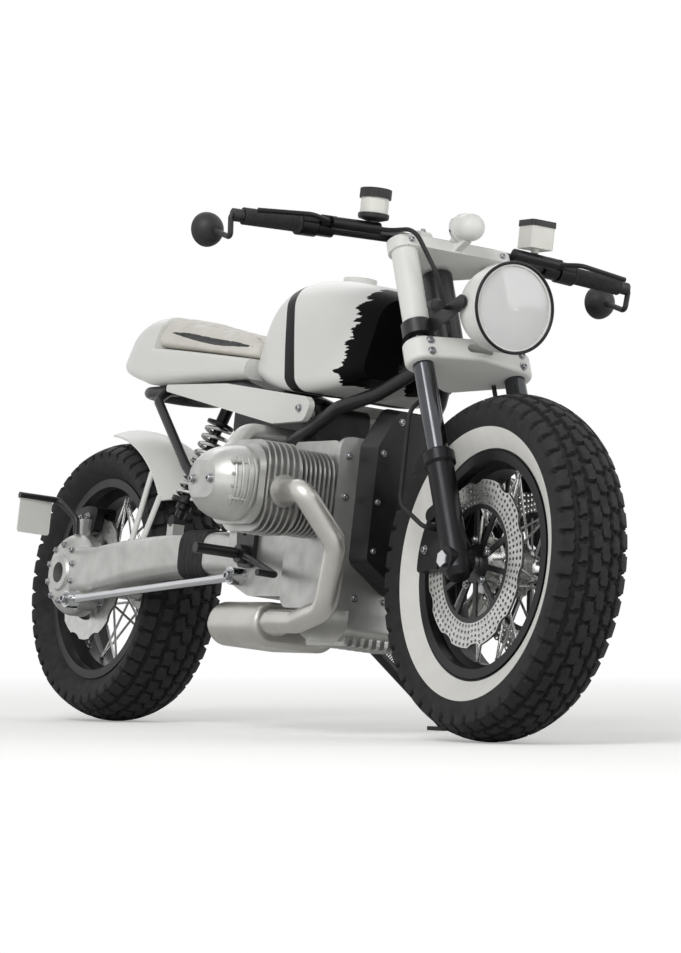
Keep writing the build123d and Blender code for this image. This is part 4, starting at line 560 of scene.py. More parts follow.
def tyre_surface(radius, width, drop, rim_width, tread):
    """Closed tyre about Y as (points, faces, band) with tread blocks sunk along the profile's normal.

    Crown: r = radius - crown + sqrt(crown^2 - y^2). Walls: a parabola through shoulder, bulge and bead.
    Groove depth: the deeper of the ring grooves beside the middle row and the cross grooves of each row.
    """
    half, shoulder = width / 2, radius - drop
    crown = (half ** 2 + drop ** 2) / (2 * drop)
    bead = rim_width / 2 - 4.3
    y = np.linspace(-half, half, 61)
    top = np.stack((y, radius - crown + np.sqrt(crown ** 2 - y ** 2)), -1)
    t = np.linspace(0, 1, 19)[1:, None]
    bulge = np.array((half * 0.7 + bead * 0.3 + 2, (shoulder + TYRE_LIP) / 2))
    wall = (1 - t) * (1 - 2 * t) * np.array((half, shoulder)) + 4 * t * (1 - t) * bulge
    wall = wall + t * (2 * t - 1) * np.array((bead, TYRE_LIP))
    inner = np.array(((bead, TYRE_FOOT), (bead - 14, TYRE_FOOT), (half - 14, shoulder - 7), (0, radius - 16)))
    flip = np.array((-1, 1))
    profile = np.concatenate((top, wall, inner, inner[-2::-1] * flip, wall[::-1] * flip))
    slope = np.roll(profile, -1, 0) - np.roll(profile, 1, 0)
    normal = np.stack((slope[:, 1], -slope[:, 0]), -1)
    normal = -normal / np.linalg.norm(normal, axis=1, keepdims=True)

    turns = tread.blocks * 12
    turn = np.arange(turns)[:, None] * 2 * np.pi / turns
    out = np.abs(profile[:, 0])[None, :]
    rise = profile[:, 1][None, :]
    pitch = turn * tread.blocks / (2 * np.pi)
    inner_edge, outer_edge = half * 0.3, half * 0.68
    rows = np.digitize(out, (inner_edge, outer_edge))
    phase = pitch + rows * 0.5 + np.sign(profile[:, 0])[None, :] * 0.25 + out / half * 0.35
    cross = (np.abs(phase % 1 - 0.5) > 0.5 - tread.groove / 2).astype(float)
    zigzag = np.abs(pitch % 1 - 0.5) * 6
    ring = np.minimum(np.abs(out - inner_edge - zigzag), np.abs(out - outer_edge + zigzag)) < 4.2
    fade = np.clip((rise - (shoulder - 16)) / 10, 0, 1)
    sunk = np.maximum(cross, ring) * tread.depth * fade * (rise > shoulder - 20)
    at = profile[None] - normal[None] * sunk[..., None]
    points = np.stack((at[..., 1] * np.cos(turn), at[..., 0], at[..., 1] * np.sin(turn)), -1)
    middle = (profile[:, 1] + np.roll(profile[:, 1], -1)) / 2
    index = np.arange(len(profile))
    is_wall = (index >= len(top)) & (middle < WHITEWALL_RADIUS) & (middle > TYRE_LIP + 3)
    is_wall &= (index < len(top) + len(wall)) | (index >= len(profile) - len(wall))
    band = np.broadcast_to(is_wall, (turns, len(profile)))
    return points, grid_faces(turns, len(profile), True, True), band


class RACER_OT_tyres(bpy.types.Operator):
    """Make the two block-tread tyres, the front one with white walls"""

    bl_idname = "racer.tyres"
    bl_label = "Tyres"

    def execute(self, context):
        tread = context.scene.racer_tread
        points, faces, band = tyre_surface(*FRONT_TYRE, FRONT_RIM_WIDTH, tread)
        front = piece(
            "front_block_tyre", "front_wheel", on_fork(points), faces, "tread", 50,
            "whitewall", band,
        )
        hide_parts("tyre_front")
        points, faces, band = tyre_surface(*REAR_TYRE, REAR_RIM_WIDTH, tread)
        rear = piece("rear_block_tyre", "rear_wheel", on_rear_axle(points), faces, "tread", 50)
        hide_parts("tyre_rear")
        return {"FINISHED"}


def drilled_ring(radius, inner, wall, waves, wave_radius, wave_depth, rows, columns, hole):
    """Closed drilled ring about Y with a waved edge, as (points, faces).

    Edge: the ring's radius, or the near side of a circle of wave_radius whose middle lies wave_depth short
    of touching it: R cos d - sqrt(wave_radius^2 - (R sin d)^2). Every cell of a polar grid is a square loop
    of 16 points on each face, joined to a round loop inside it and through the hole to the other face.
    """
    middle = radius - wave_depth + wave_radius

    def ring(turn, share):
        off = (turn + np.pi / waves) % (2 * np.pi / waves) - np.pi / waves
        bite = np.maximum(wave_radius ** 2 - (middle * np.sin(off)) ** 2, 0)
        edge = np.where(bite > 0, np.minimum(radius, middle * np.cos(off) - np.sqrt(bite)), radius)
        return inner + (edge - inner) * share

    corner = np.arange(16) * np.pi / 8
    way = np.stack((np.cos(corner), np.sin(corner)), -1)
    square = way / np.abs(way).max(1, keepdims=True) * 0.5 + 0.5
    round_hole = way * hole / 2 + 0.5
    loops = np.stack((square, round_hole, round_hole, square))
    level = np.array((1, 1, -1, -1))[:, None] * wall / 2
    row = np.arange(rows)[:, None, None, None]
    column = np.arange(columns)[None, :, None, None]
    turn = (column + loops[..., 0]) * 2 * np.pi / columns
    turn, share, height = np.broadcast_arrays(turn, (row + loops[..., 1]) / rows, level)
    out = ring(turn, share)
    cells = np.stack((out * np.cos(turn), height, out * np.sin(turn)), -1)
    starts = np.arange(rows * columns)[:, None, None] * level.size * len(corner)
    parts = [(cells, (grid_faces(4, 16, False, True)[None] + starts).reshape(-1, 4))]

    near = 0.5 - np.tan(np.pi / 8) / 2
    steps = np.array((0, near, 0.5, 1 - near))
    rim_turn = ((np.arange(columns)[:, None] + steps) * 2 * np.pi / columns).ravel()
    levels = np.array((wall / 2, -wall / 2))[:, None]
    for share in (0.0, 1.0):
        out = ring(rim_turn, share)
        strip = np.stack(np.broadcast_arrays(out * np.cos(rim_turn), levels, out * np.sin(rim_turn)), -1)
        parts.append((strip, grid_faces(2, len(rim_turn), False, True)))
    return joined(parts)


def nipples(flange_half):
    """Spoke nipples under a rim's well: places and directions, worked out from the lacing of the spokes.

    Hub end: at its radius and turn t. Rim end: at its radius and t -+ the lacing. Each nipple starts just
    under the well.
    """
    side = np.repeat((1, -1), SPOKES_A_SIDE)
    count = np.tile(np.arange(SPOKES_A_SIDE), 2)
    turn = 2 * np.pi / SPOKES_A_SIDE * (count + side / 4)
    end_turn = turn + LACING * np.where(count % 2, 1, -1)
    hub = SPOKE_HUB_RADIUS
    start = np.stack((hub * np.cos(turn), side * flange_half, hub * np.sin(turn)), -1)
    radial = np.stack((np.cos(end_turn), np.zeros(len(side)), np.sin(end_turn)), -1)
    end = SPOKE_RIM_RADIUS * radial + side[:, None] * (0, 8, 0)
    direction = (start - end) / np.linalg.norm(start - end, axis=1, keepdims=True)
    reach = (SPOKE_RIM_RADIUS - UNDER_WELL_RADIUS) / -np.sum(direction * radial, 1, keepdims=True)
    return end + direction * reach, direction


class RACER_OT_wheels(bpy.types.Operator):
    """Make the drilled front discs, the spoke nipples and the valves"""

    bl_idname = "racer.wheels"
    bl_label = "Wheels"

    def execute(self, context):
        ring, faces = drilled_ring(
            radius=160, inner=113, wall=5, waves=10, wave_radius=42, wave_depth=7, rows=4, columns=70,
            hole=context.scene.racer_trim.hole,
        )
        points, faces = joined([(ring + (0, DISC_Y, 0), faces), (ring - (0, DISC_Y, 0), faces)])
        discs = piece("drilled_discs", "front_wheel", on_fork(points), faces, "disc", 30)
        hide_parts("discs_front")

        nipple = spun(((0, 0), (4.6, 0), (4.6, 3), (3.7, 4), (3.3, 15), (2.7, 16), (0, 16)), 8)
        stem = spun(((0, 0), (5.5, 0), (4.2, 4), (3.6, 20), (4.3, 21), (4.3, 31), (3.4, 32), (0, 32)), 16)
        turn = np.radians(202)
        outward = np.array((np.cos(turn), 0, np.sin(turn)))
        for end, flange_half, place in (("front", 34, on_fork), ("rear", 42, on_rear_axle)):
            body = f"{end}_wheel"
            points, faces = repeated(nipple, grid_faces(8, 7, True), *nipples(flange_half))
            piece(f"{end}_nipples", body, place(points), faces, "zinc", 30)
            points, faces = repeated(stem, grid_faces(16, 8, True), outward * UNDER_WELL_RADIUS, -outward)
            piece(f"{end}_valve", body, place(points), faces, "grip", 30)
        return {"FINISHED"}


def pad_row(x):
    """Floor, top and half widths of the pad at x, between the three rows by a parabola through them."""
    at = PAD_ROWS[:, 0]
    share = (
        (x - at[1]) * (x - at[2]) / ((at[0] - at[1]) * (at[0] - at[2])),
        (x - at[0]) * (x - at[2]) / ((at[1] - at[0]) * (at[1] - at[2])),
        (x - at[0]) * (x - at[1]) / ((at[2] - at[0]) * (at[2] - at[1])),
    )
    return sum(part[..., None] * row for part, row in zip(share, PAD_ROWS[:, 1:]))


def soft(wave, power):
    """Sine or cosine with its size raised to a power and its sign kept, which squares a circle."""
    return np.sign(wave) * np.abs(wave) ** power


def pad_surface():
    """Closed pad of soft cross-sections, drawn in at the ends.

    y = w |cos|^0.5 and z = floor + h (0.5 + 0.5 |sin|^0.6), each with the sign of its wave.
    """
    ends = np.array(((0, 0), (0, 0.35), (0, 0.65), (0, 0.86), (3, 0.93), (9, 0.98)))
    nose = np.array(((30, 0.985), (18, 0.96), (9, 0.91), (3, 0.82), (0, 0.68), (0, 0.4), (0, 0.0)))
    x = np.concatenate((PAD_BACK + ends[:, 0], np.linspace(216, 545, 48), PAD_FRONT - nose[:, 0]))
    scale = np.concatenate((ends[:, 1], np.ones(48), nose[:, 1]))[:, None]
    low, high, wide, narrow = (column[:, None] for column in pad_row(x).T)
    turn = np.linspace(0, 2 * np.pi, 72, endpoint=False)[None, :]
    rise = 0.5 + 0.5 * soft(np.sin(turn), 0.6)
    y = (wide + (narrow - wide) * rise) * soft(np.cos(turn), 0.5)
    z = low + (high - low) * (0.42 + (rise - 0.42) * scale)
    points = np.stack(np.broadcast_arrays(x[:, None], y * scale, z), -1)
    return points, grid_faces(len(x), 72, False, True)


def stuffed(cover, swell):
    """Remeshes a closed cover and swells it as cloth under pressure, no point by more than the swell.

    Gives the points before the swelling and the way that each one moved.
    """
    context = bpy.context
    remesh = cover.modifiers.new("remesh", "REMESH")
    remesh.mode = "VOXEL"
    remesh.voxel_size = VOXEL
    even = bpy.data.meshes.new_from_object(cover.evaluated_get(context.evaluated_depsgraph_get()))
    cover.modifiers.clear()
    cover.data = even
    flat = np.empty(len(even.vertices) * 3)
    even.vertices.foreach_get("co", flat)
    before = flat.reshape(-1, 3).copy()
    cloth = cover.modifiers.new("cloth", "CLOTH")
    cloth.settings.quality = 4
    cloth.settings.use_pressure = True
    cloth.settings.uniform_pressure_force = STUFFING_PRESSURE
    cloth.settings.effector_weights.gravity = 0.0
    cloth.point_cache.frame_start = 1
    cloth.point_cache.frame_end = STUFFING_FRAMES
    for moment in range(1, STUFFING_FRAMES + 1):
        context.scene.frame_set(moment)
    shaped = bpy.data.meshes.new_from_object(cover.evaluated_get(context.evaluated_depsgraph_get()))
    shaped.vertices.foreach_get("co", flat)
    moved = flat.reshape(-1, 3) - before
    context.scene.frame_set(1)
    cover.modifiers.clear()
    length = np.linalg.norm(moved, axis=1, keepdims=True)
    return before, moved * np.minimum(1, swell / 1000 / np.maximum(length, 1e-9))


class RACER_OT_seat(bpy.types.Operator):
    """Make the sewn seat pad, its stitches and the black painted shade along its sides"""

    bl_idname = "racer.seat"
    bl_label = "Seat"

    def execute(self, context):
        sewn = context.scene.racer_seat
        points, faces = pad_surface()
        pad = piece("sewn_seat_pad", "chassis", upright(points), faces, "leather", 60)
        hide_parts("seat_pad")
        before, moved = stuffed(pad, sewn.swell)
        at = fallen(before + moved)
        start = fallen(before)
        x = start[:, 0]
        low, high, wide, narrow = pad_row(x).T
        rise = (start[:, 2] - low) / (high - low)
        # The swelling fades out towards the base and the back
        free = np.clip((rise - 0.15) / 0.35, 0, 1) * np.clip((x - 206) / 30, 0, 1)
        at = start + (at - start) * free[:, None]

        # Channels: one seam along each side of the top and five across it between them
        line = np.abs(start[:, 1]) - 0.62 * (wide + (narrow - wide) * np.clip(rise, 0, 1))
        side_seam = np.exp(-(line / 4.5) ** 2)
        off_seam = (x - 262) % SEAM_PITCH - SEAM_PITCH / 2
        across = np.exp(-(off_seam / 5.0) ** 2) * (x > 250) * (x < 545) * np.clip(-line / 6, 0, 1)
        top = np.clip((rise - 0.55) / 0.25, 0, 1)
        at[:, 2] -= sewn.seam * top * np.maximum(side_seam, 0.8 * across)
        at[:, 2] = np.maximum(at[:, 2], low + 0.2)
        at[:, 0] = np.clip(at[:, 0], PAD_BACK + 0.1, PAD_FRONT)
        pad.data.vertices.foreach_set("co", upright(at).ravel())
        pad.data.materials.clear()
        pad.data.materials.append(finishes["leather"])
        # Painted shade on the pad's sides: a black leaf that widens forwards, by how far a point lies inside
        # its edge
        shade_leaf = 0.15 * np.sin(np.pi * np.clip((x - 216) / 372, 0, 1) ** 1.3) ** 0.7
        painted_side_shade = pad.data.attributes.new("painted_side_shade", "FLOAT", "POINT")
        painted_side_shade.data.foreach_set("value", shade_leaf - np.abs(rise - 0.54) - 0.01)
        pad.data.polygons.foreach_set("use_smooth", np.ones(len(pad.data.polygons), bool))
        smooth = pad.modifiers.new("smooth", "SUBSURF")
        smooth.levels = smooth.render_levels = 1

        # Thread: one stitch every pitch along the two side seams, laid on the nearest point of the cover
        run = np.arange(222, 560, sewn.stitch)
        side = np.array((1, -1))[:, None]
        width = pad_row(run)
        level = side * 0.60 * (width[:, 2] * 0.1 + width[:, 3] * 0.9)
        guess = np.stack(np.broadcast_arrays(run, level, width[:, 1]), -1).reshape(-1, 3)
        distance = np.sum((guess[:, None, :2] - at[None, :, :2]) ** 2, -1)
        near = np.argmin(distance + (rise < 0.6) * 1e6, axis=1)
        guess[:, 2] = at[near, 2] + 0.3
        stitch = spun(((0, -2.4), (0.6, -2.2), (0.8, 0), (0.6, 2.2), (0, 2.4)), 8)
        points, faces = repeated(stitch, grid_faces(8, 5, True), guess, (1.0, 0, -0.12))
        piece("seat_stitches", "chassis", upright(points), faces, "thread", 60)
        return {"FINISHED"}


class RACER_OT_controls(bpy.types.Operator):
    """Make the ribbed grips, the mirror glasses, the reservoirs' caps and the round one's ring and holder"""

    bl_idname = "racer.controls"
    bl_label = "Controls"

    def execute(self, context):
        # Ribs: the radius follows |sin|^0.6 along the grip
        along = np.linspace(9, 119, 240)
        radius = 15.9 + 1.1 * np.abs(np.sin(np.pi * along / context.scene.racer_trim.ribs)) ** 0.6
        profile = np.concatenate((
            ((13.0, 0.2), (20.5, 0.2), (22, 1.5), (22, 4), (20.5, 6), (16.5, 8)),
            np.stack((radius, along), -1),
            ((17, 120.4), (16, 121.6), (13.0, 121.6)),
        ))
        faces = grid_faces(48, len(profile), True, True)
        shape = spun(profile, 48)
        points, faces = joined([repeated(shape, faces, *on_bar(GRIP_START, side)) for side in (1, -1)])
        grips = piece("ribbed_grips", "steering", on_fork(points), faces, "grip", 50)
        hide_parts("grips")

        ahead = np.array((np.cos(RAKE), 0, -np.sin(RAKE)))
        glass = spun(((0, 0), (31, 0), (31, 1.2), (30, 1.6), (0, 1.6)), 48)
        heads = np.array(((-127.0, 459, 738), (-127.0, -459, 738))) - ahead * 17
        points, faces = repeated(glass, grid_faces(48, 5, True), heads, -ahead)
        piece("mirror_glasses", "steering", on_fork(points), faces, "mirror", 30)

        # Caps: the faces of a reservoir that lie above its cap's foot
        centre = face_centres("reservoirs")
        is_cap = np.zeros(len(centre), bool)
        upward = np.array((np.sin(RAKE), 0, np.cos(RAKE)))
        for along, side in RESERVOIRS:
            seat = on_bar(along, side)[0] + RESERVOIR_STEP
            foot, head = on_fork(seat + upward * CAP_FOOT), on_fork(seat + upward * (CAP_FOOT + 10))
            way = (head - foot) / np.linalg.norm(head - foot)
            near = np.linalg.norm(centre - foot, axis=1) < 0.06
            is_cap |= near & ((centre - foot) @ way > 0)
        wear_second("reservoirs", "nylon", is_cap)

        # The round reservoir on the right: a knurled ring round its cap and a cupped holder under it
        seat = on_bar(*RESERVOIRS[0])[0] + RESERVOIR_STEP
        knurl = 1 + 0.035 * (np.arange(120) % 4 < 2)[:, None, None] * np.array((1, 1, 0))
        ring = ((27.5, 57), (30, 57), (30, 75), (29, 75.9), (27.5, 75.9))
        cup = ((7, 12.4), (11, 12.4), (20, 15), (29.5, 18), (30.5, 21), (30.5, 27), (7, 27))
        for name, profile, relief in (("reservoir_cap", ring, knurl), ("reservoir_holder", cup, 1)):
            faces = grid_faces(120, len(profile), True, True)
            points, faces = repeated(spun(profile, 120) * relief, faces, seat, upward)
            piece(name, "steering", on_fork(points), faces, "nylon", 30)
        return {"FINISHED"}


class RACER_OT_lamps(bpy.types.Operator):
    """Make the headlamp's rim, the dial and the tank's filler cap"""

    bl_idname = "racer.lamps"
    bl_label = "Lamps and dial"

    def execute(self, context):
        turn = np.linspace(0, 2 * np.pi, 20, endpoint=False)
        rim_radius, bead_radius, ahead = 86.4, 3.2, 6.6
        bead = np.stack((rim_radius + bead_radius * np.cos(turn), ahead + bead_radius * np.sin(turn)), -1)
        rim = spun(bead, 96, 0) + raked(LAMP)
        piece("lamp_rim", "steering", upright(rim), grid_faces(96, 20, True, True), "anodised")

        back = raked(POD) - (29, 0, 0)
        profile = (
            (0, -1.2), (23.4, -1.2), (23.6, -4.2), (25, -5), (28, -5), (29.4, -3.6), (29.4, 2), (29.05, 2),
            (29.05, -0.2), (0, -0.2),
        )
        bezel = spun(profile, 64, 0) + back
        choice = np.zeros((64, 9), np.int32)
        choice[:, 0] = 1
        faces = grid_faces(64, 10, True)
        piece("dial_bezel", "steering", upright(bezel), faces, "chrome", 35, "dial", choice)
        turn = np.radians(np.linspace(-45, 225, 28))
        outward = np.stack((np.zeros(28), np.cos(turn), np.sin(turn)), -1)
        tick = spun(((0, 0), (0.5, 0), (0.5, 4.2), (0, 4.2)), 4)
        points, faces = repeated(tick, grid_faces(4, 4, True), back + (-1.3, 0, 0) + outward * 17.5, outward)
        piece("dial_ticks", "steering", upright(points), faces, "nylon")
        needle = spun(((0, -5), (1.6, -4), (1.6, 0), (0.5, 17), (0, 17.4)), 6)
        points, faces = repeated(needle, grid_faces(6, 5, True), back + (-2.8, 0, 0), outward[4])
        piece("dial_needle", "steering", upright(points), faces, "nylon")

        # Cap on the tank's own filler boss
        profile = (
            (0, -1), (33, -1), (33, 0.8), (32, 1.4), (25, 1.5), (24.5, 0.8), (22, 0.8), (21.5, 1.6), (0, 1.8)
        )
        at, normal = seated("tank", FILLER, (0, 0, 1.0), upright)
        points, faces = repeated(spun(profile, 72) / 1000, grid_faces(72, 9, True), at, normal)
        piece("filler_cap", "chassis", points, faces, "cast", 30)
        return {"FINISHED"}


def raised_rib(at, normal):
    """Rib along seated points: a half-round section, across * width + normal * height, whose ends run out."""
    along = np.gradient(at, axis=0)
    across = np.cross(normal, along / np.linalg.norm(along, axis=1, keepdims=True))
    section = ((-2.7, -1), (-2.7, 4), (-1.8, 5.7), (0, 6.3), (1.8, 5.7), (2.7, 4), (2.7, -1))
    width, height = np.array(section).T / 1000
    share = np.sin(np.linspace(0, np.pi, len(at)))[:, None] ** 0.3
    share[[0, -1]] = 0
    spread = width * (share > 0)
    lift = share * (height + 0.001) - 0.001
    points = at[:, None] + across[:, None] * spread[..., None] + normal[:, None] * lift[..., None]
    return points, grid_faces(len(at), len(width), False, True)


class RACER_OT_ribs(bpy.types.Operator):
    """Raise the upright cast ribs on the front of the two valve covers"""

    bl_idname = "racer.ribs"
    bl_label = "Cover ribs"

    def execute(self, context):
        # Heights about the crank, clear of the covers' own level ribs
        rise = np.array((-50.0, -46, -42, -30, -24, -18, -6, 0, 6, 18, 24, 30, 42, 46, 50))
        parts = []
        for hand, side, cylinder in SIDES:
            for out in (327, 339, 351, 363):
                line = np.stack(np.broadcast_arrays(cylinder + 90, side * out, CRANK_Z + rise), -1)
                parts.append(raised_rib(*seated("valve_covers", line, (1.0, 0, 0), upright)))
        points, faces = joined(parts)
        piece("cover_ribs", "chassis", points, faces, "cast", 40)
        return {"FINISHED"}


def coil(start, end, radius, wire, turns, steps=20):
    """Wound wire from start to end: a helix swept by a circle in its radial and axial ways, its tips shut."""
    along, side, other = frame_on(end - start)
    t = np.linspace(0, 1, turns * steps + 1)[:, None]
    angle = t * turns * 2 * np.pi
    radial = np.cos(angle) * side + np.sin(angle) * other
    middle = start + t * (end - start) + radius * radial
    ring = np.linspace(0, 2 * np.pi, 10, endpoint=False)
    thick = wire * np.where((t > 0) & (t < 1), 1.0, 0.0)[..., None]
    sweep = np.cos(ring)[None, :, None] * radial[:, None, :] + np.sin(ring)[None, :, None] * along
    return middle[:, None, :] + thick * sweep, grid_faces(len(t), 10, False, True)


def gaiter_surface():
    """Closed sleeve round the swingarm: a squared section, carried along X, that grows by |sin|^0.7 folds."""
    back, front, pitch = 470, 536, 11
    x = np.linspace(back, front, front - back + 1)[:, None]
    share = (600 - x) / 160
    fold = 3.0 + 4.0 * np.abs(np.sin(np.pi * (x - back) / pitch)) ** 0.7
    x = np.concatenate((x, x[-1:], x[:1]))
    share = np.concatenate((share, share[-1:], share[:1]))
    # The last two rows close the sleeve inside the arm
    fold = np.concatenate((fold, ((-4.0,), (-4.0,))))
    turn = np.linspace(0, 2 * np.pi, 96, endpoint=False)[None, :]
    y = -58 - 48 * share + (37 + fold) * soft(np.cos(turn), 0.56)
    z = 350 - 8 * share + (46 - 2 * share + fold) * soft(np.sin(turn), 0.56)
    return np.stack(np.broadcast_arrays(x, y, z), -1), grid_faces(len(x), 96, True, True)


class RACER_OT_springs(bpy.types.Operator):
    """Make the stand's return spring, the damper with its spring and eyes, and the swingarm's gaiter"""

    bl_idname = "racer.springs"
    bl_label = "Springs"

    def execute(self, context):
        leg = (STAND_FOOT - STAND_PIVOT) / np.linalg.norm(STAND_FOOT - STAND_PIVOT)
        axis = np.cross(STAND_FOOT - STAND_PIVOT, (-1, 0.1, 0.05))
        axis = axis / np.linalg.norm(axis)
        stand_off = axis * 22
        start, end = STAND_PIVOT + leg * 34 + stand_off, STAND_PIVOT + leg * 136 + stand_off
        points, faces = coil(start, end, 7.5, 1.6, 22)
        piece("stand_spring", "side_stand", upright(points), faces, "zinc")
        post = spun(((0, -2), (4, -2), (4, 26), (6, 27), (6, 31), (0, 32)), 20)
        points, faces = repeated(post, grid_faces(20, 6, True), np.stack((start, end)) - stand_off, axis)
        piece("spring_posts", "side_stand", upright(points), faces, "powder", 30)

        length = np.linalg.norm(SHOCK_HIGH - SHOCK_LOW)
        along = (SHOCK_HIGH - SHOCK_LOW) / length
        profile = (
            (0, 4.6), (11, 4.6), (11, 30), (16, 34), (16, 44), (31, 46), (31, 55), (15, 56),
            (15, 150), (9, 152), (9, 222), (29, 223), (29, 230), (13, 233), (13, length - 5), (0, length - 5),
        )
        points, faces = repeated(spun(profile, 40), grid_faces(40, 16, True), SHOCK_LOW, along)
        damper = piece("damper", "chassis", upright(points), faces, "anodised", 30)
        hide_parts("rear_shock")
        points, faces = coil(SHOCK_LOW + along * 58, SHOCK_LOW + along * 221, 24.5, 4.3, 9, 28)
        piece("damper_spring", "chassis", upright(points), faces, "wire")
        bush = spun(((0, -13), (12, -13), (13, -12), (13, 12), (12, 13), (0, 13)), 32, 1)
        middles = SHOCK_LOW + (0, 0, 6), SHOCK_HIGH - (0, 0, 6)
        points, faces = joined([(bush + middle, grid_faces(32, 6, True)) for middle in middles])
        piece("damper_eyes", "chassis", upright(points), faces, "grip", 30)

        points, faces = gaiter_surface()
        piece("swingarm_gaiter", "chassis", upright(points), faces, "grip", 60)
        return {"FINISHED"}


def screw(radius):
    """Socket screw on its washer, spun about its own Z and sized by its thread's radius."""
    rows = (
        (0, -0.2), (1.7, -0.2), (1.7, 0.3), (1.2, 0.3), (1.2, 1.2), (1.05, 1.35), (0.62, 1.35), (0.62, 0.6),
        (0, 0.6),
    )
    return spun(np.array(rows) * radius, 18), grid_faces(18, 9, True)


def ring_places(radius, count, y, start=0.0):
    """Places round Y: radius * cos and radius * sin at equal turns, at that y."""
    turn = np.radians(start) + np.arange(count) * 2 * np.pi / count
    return np.stack((radius * np.cos(turn), np.full(count, float(y)), radius * np.sin(turn)), -1)


class RACER_OT_fasteners(bpy.types.Operator):
    """Set screws on the cases, covers, clamps, hub and calipers, each seated on its solid, and fork caps"""

    bl_idname = "racer.fasteners"
    bl_label = "Fasteners"

    def execute(self, context):
        size = context.scene.racer_trim.screw
        right, ahead, up = (0, -1.0, 0), (1.0, 0, 0), (0, 0, 1.0)
        flange = [(1075, side * 115, z) for side in (1, -1) for z in (296, 376, 456, 536)]
        flange += [(1075, y, 262) for y in (-70, 0, 70)]
        cover_side = ((70, 354), (72, 450), (70, 546), (36, 612))
        cover = [(1128, side * y, z) for side in (1, -1) for y, z in cover_side]
        drive = ring_places(60, 10, -160, 18)
        carrier = ring_places(128, 24, -108)[[6, 7]]
        link = ((108, -190, 241.4), (665, -120, 300))
        clamp = [(36, side * FORK_HALF, z) for side in (1, -1) for z in (436, 460)]
        yoke = [(34, side * FORK_HALF, 688) for side in (1, -1)]
        riser = [(-24 + x, side * 42, 747) for side in (1, -1) for x in (-10, 10)]
        # Name, body, node, frame, places, way out and thread's share of the screw size
        table = [
            ("case_screws", "chassis", "engine_case", upright, flange, ahead, 1.1),
            ("cover_screws", "chassis", "front_cover", upright, cover, ahead, 1.0),
            ("drive_screws", "chassis", "final_drive", on_rear_axle, drive, right, 1.1),
            ("rear_carrier_screws", "chassis", "rear_caliper", on_rear_axle, carrier, right, 1.2),
            ("link_screws", "chassis", "torque_arm", upright, link, right, 2.0),
            ("clamp_screws", "steering", "lower_clamp", on_fork, clamp, ahead, 1.2),
            ("yoke_screws", "steering", "upper_clamp", on_fork, yoke, ahead, 1.0),
            ("riser_screws", "steering", "upper_clamp", on_fork, riser, up, 1.0),
        ]
        for hand, side, cylinder in SIDES:
            nuts = [(cylinder + x, side * 395, CRANK_Z) for x in (-34, 34)]
            panel = ((904, side * 140, 632), (600, side * 140, 700))
            caliper = ring_places(150, 45, side * 84)[[15, 18]]
            hub = ring_places(45, 5, side * 66)
            way = (0, float(side), 0)
            table += [
                (f"{hand}_cover_nuts", "chassis", "valve_covers", upright, nuts, way, 1.5),
                (f"{hand}_panel_screws", "chassis", "side_panels", upright, panel, way, 1.3),
                (f"{hand}_hub_screws", "front_wheel", "disc_carriers", on_fork, hub, way, 1.2),
                (f"{hand}_caliper_screws", "steering", "calipers", on_fork, caliper, way, 1.3),
            ]
        for name, body, node, place, places, way, share in table:
            points, faces = repeated(*screw(size * share / 1000), *seated(node, places, way, place))
            piece(name, body, points, faces, "zinc", 30)

        cap = spun(((0, 0), (15.5, 0), (15.5, 6), (13, 8), (0, 8)), 6)
        spots = ((0, FORK_HALF, 706), (0, -FORK_HALF, 706), (-52, 0, 700))
        points, faces = repeated(cap, grid_faces(6, 5, True), spots, up)
        piece("fork_caps", "steering", on_fork(points), faces, "anodised", 30)
        return {"FINISHED"}


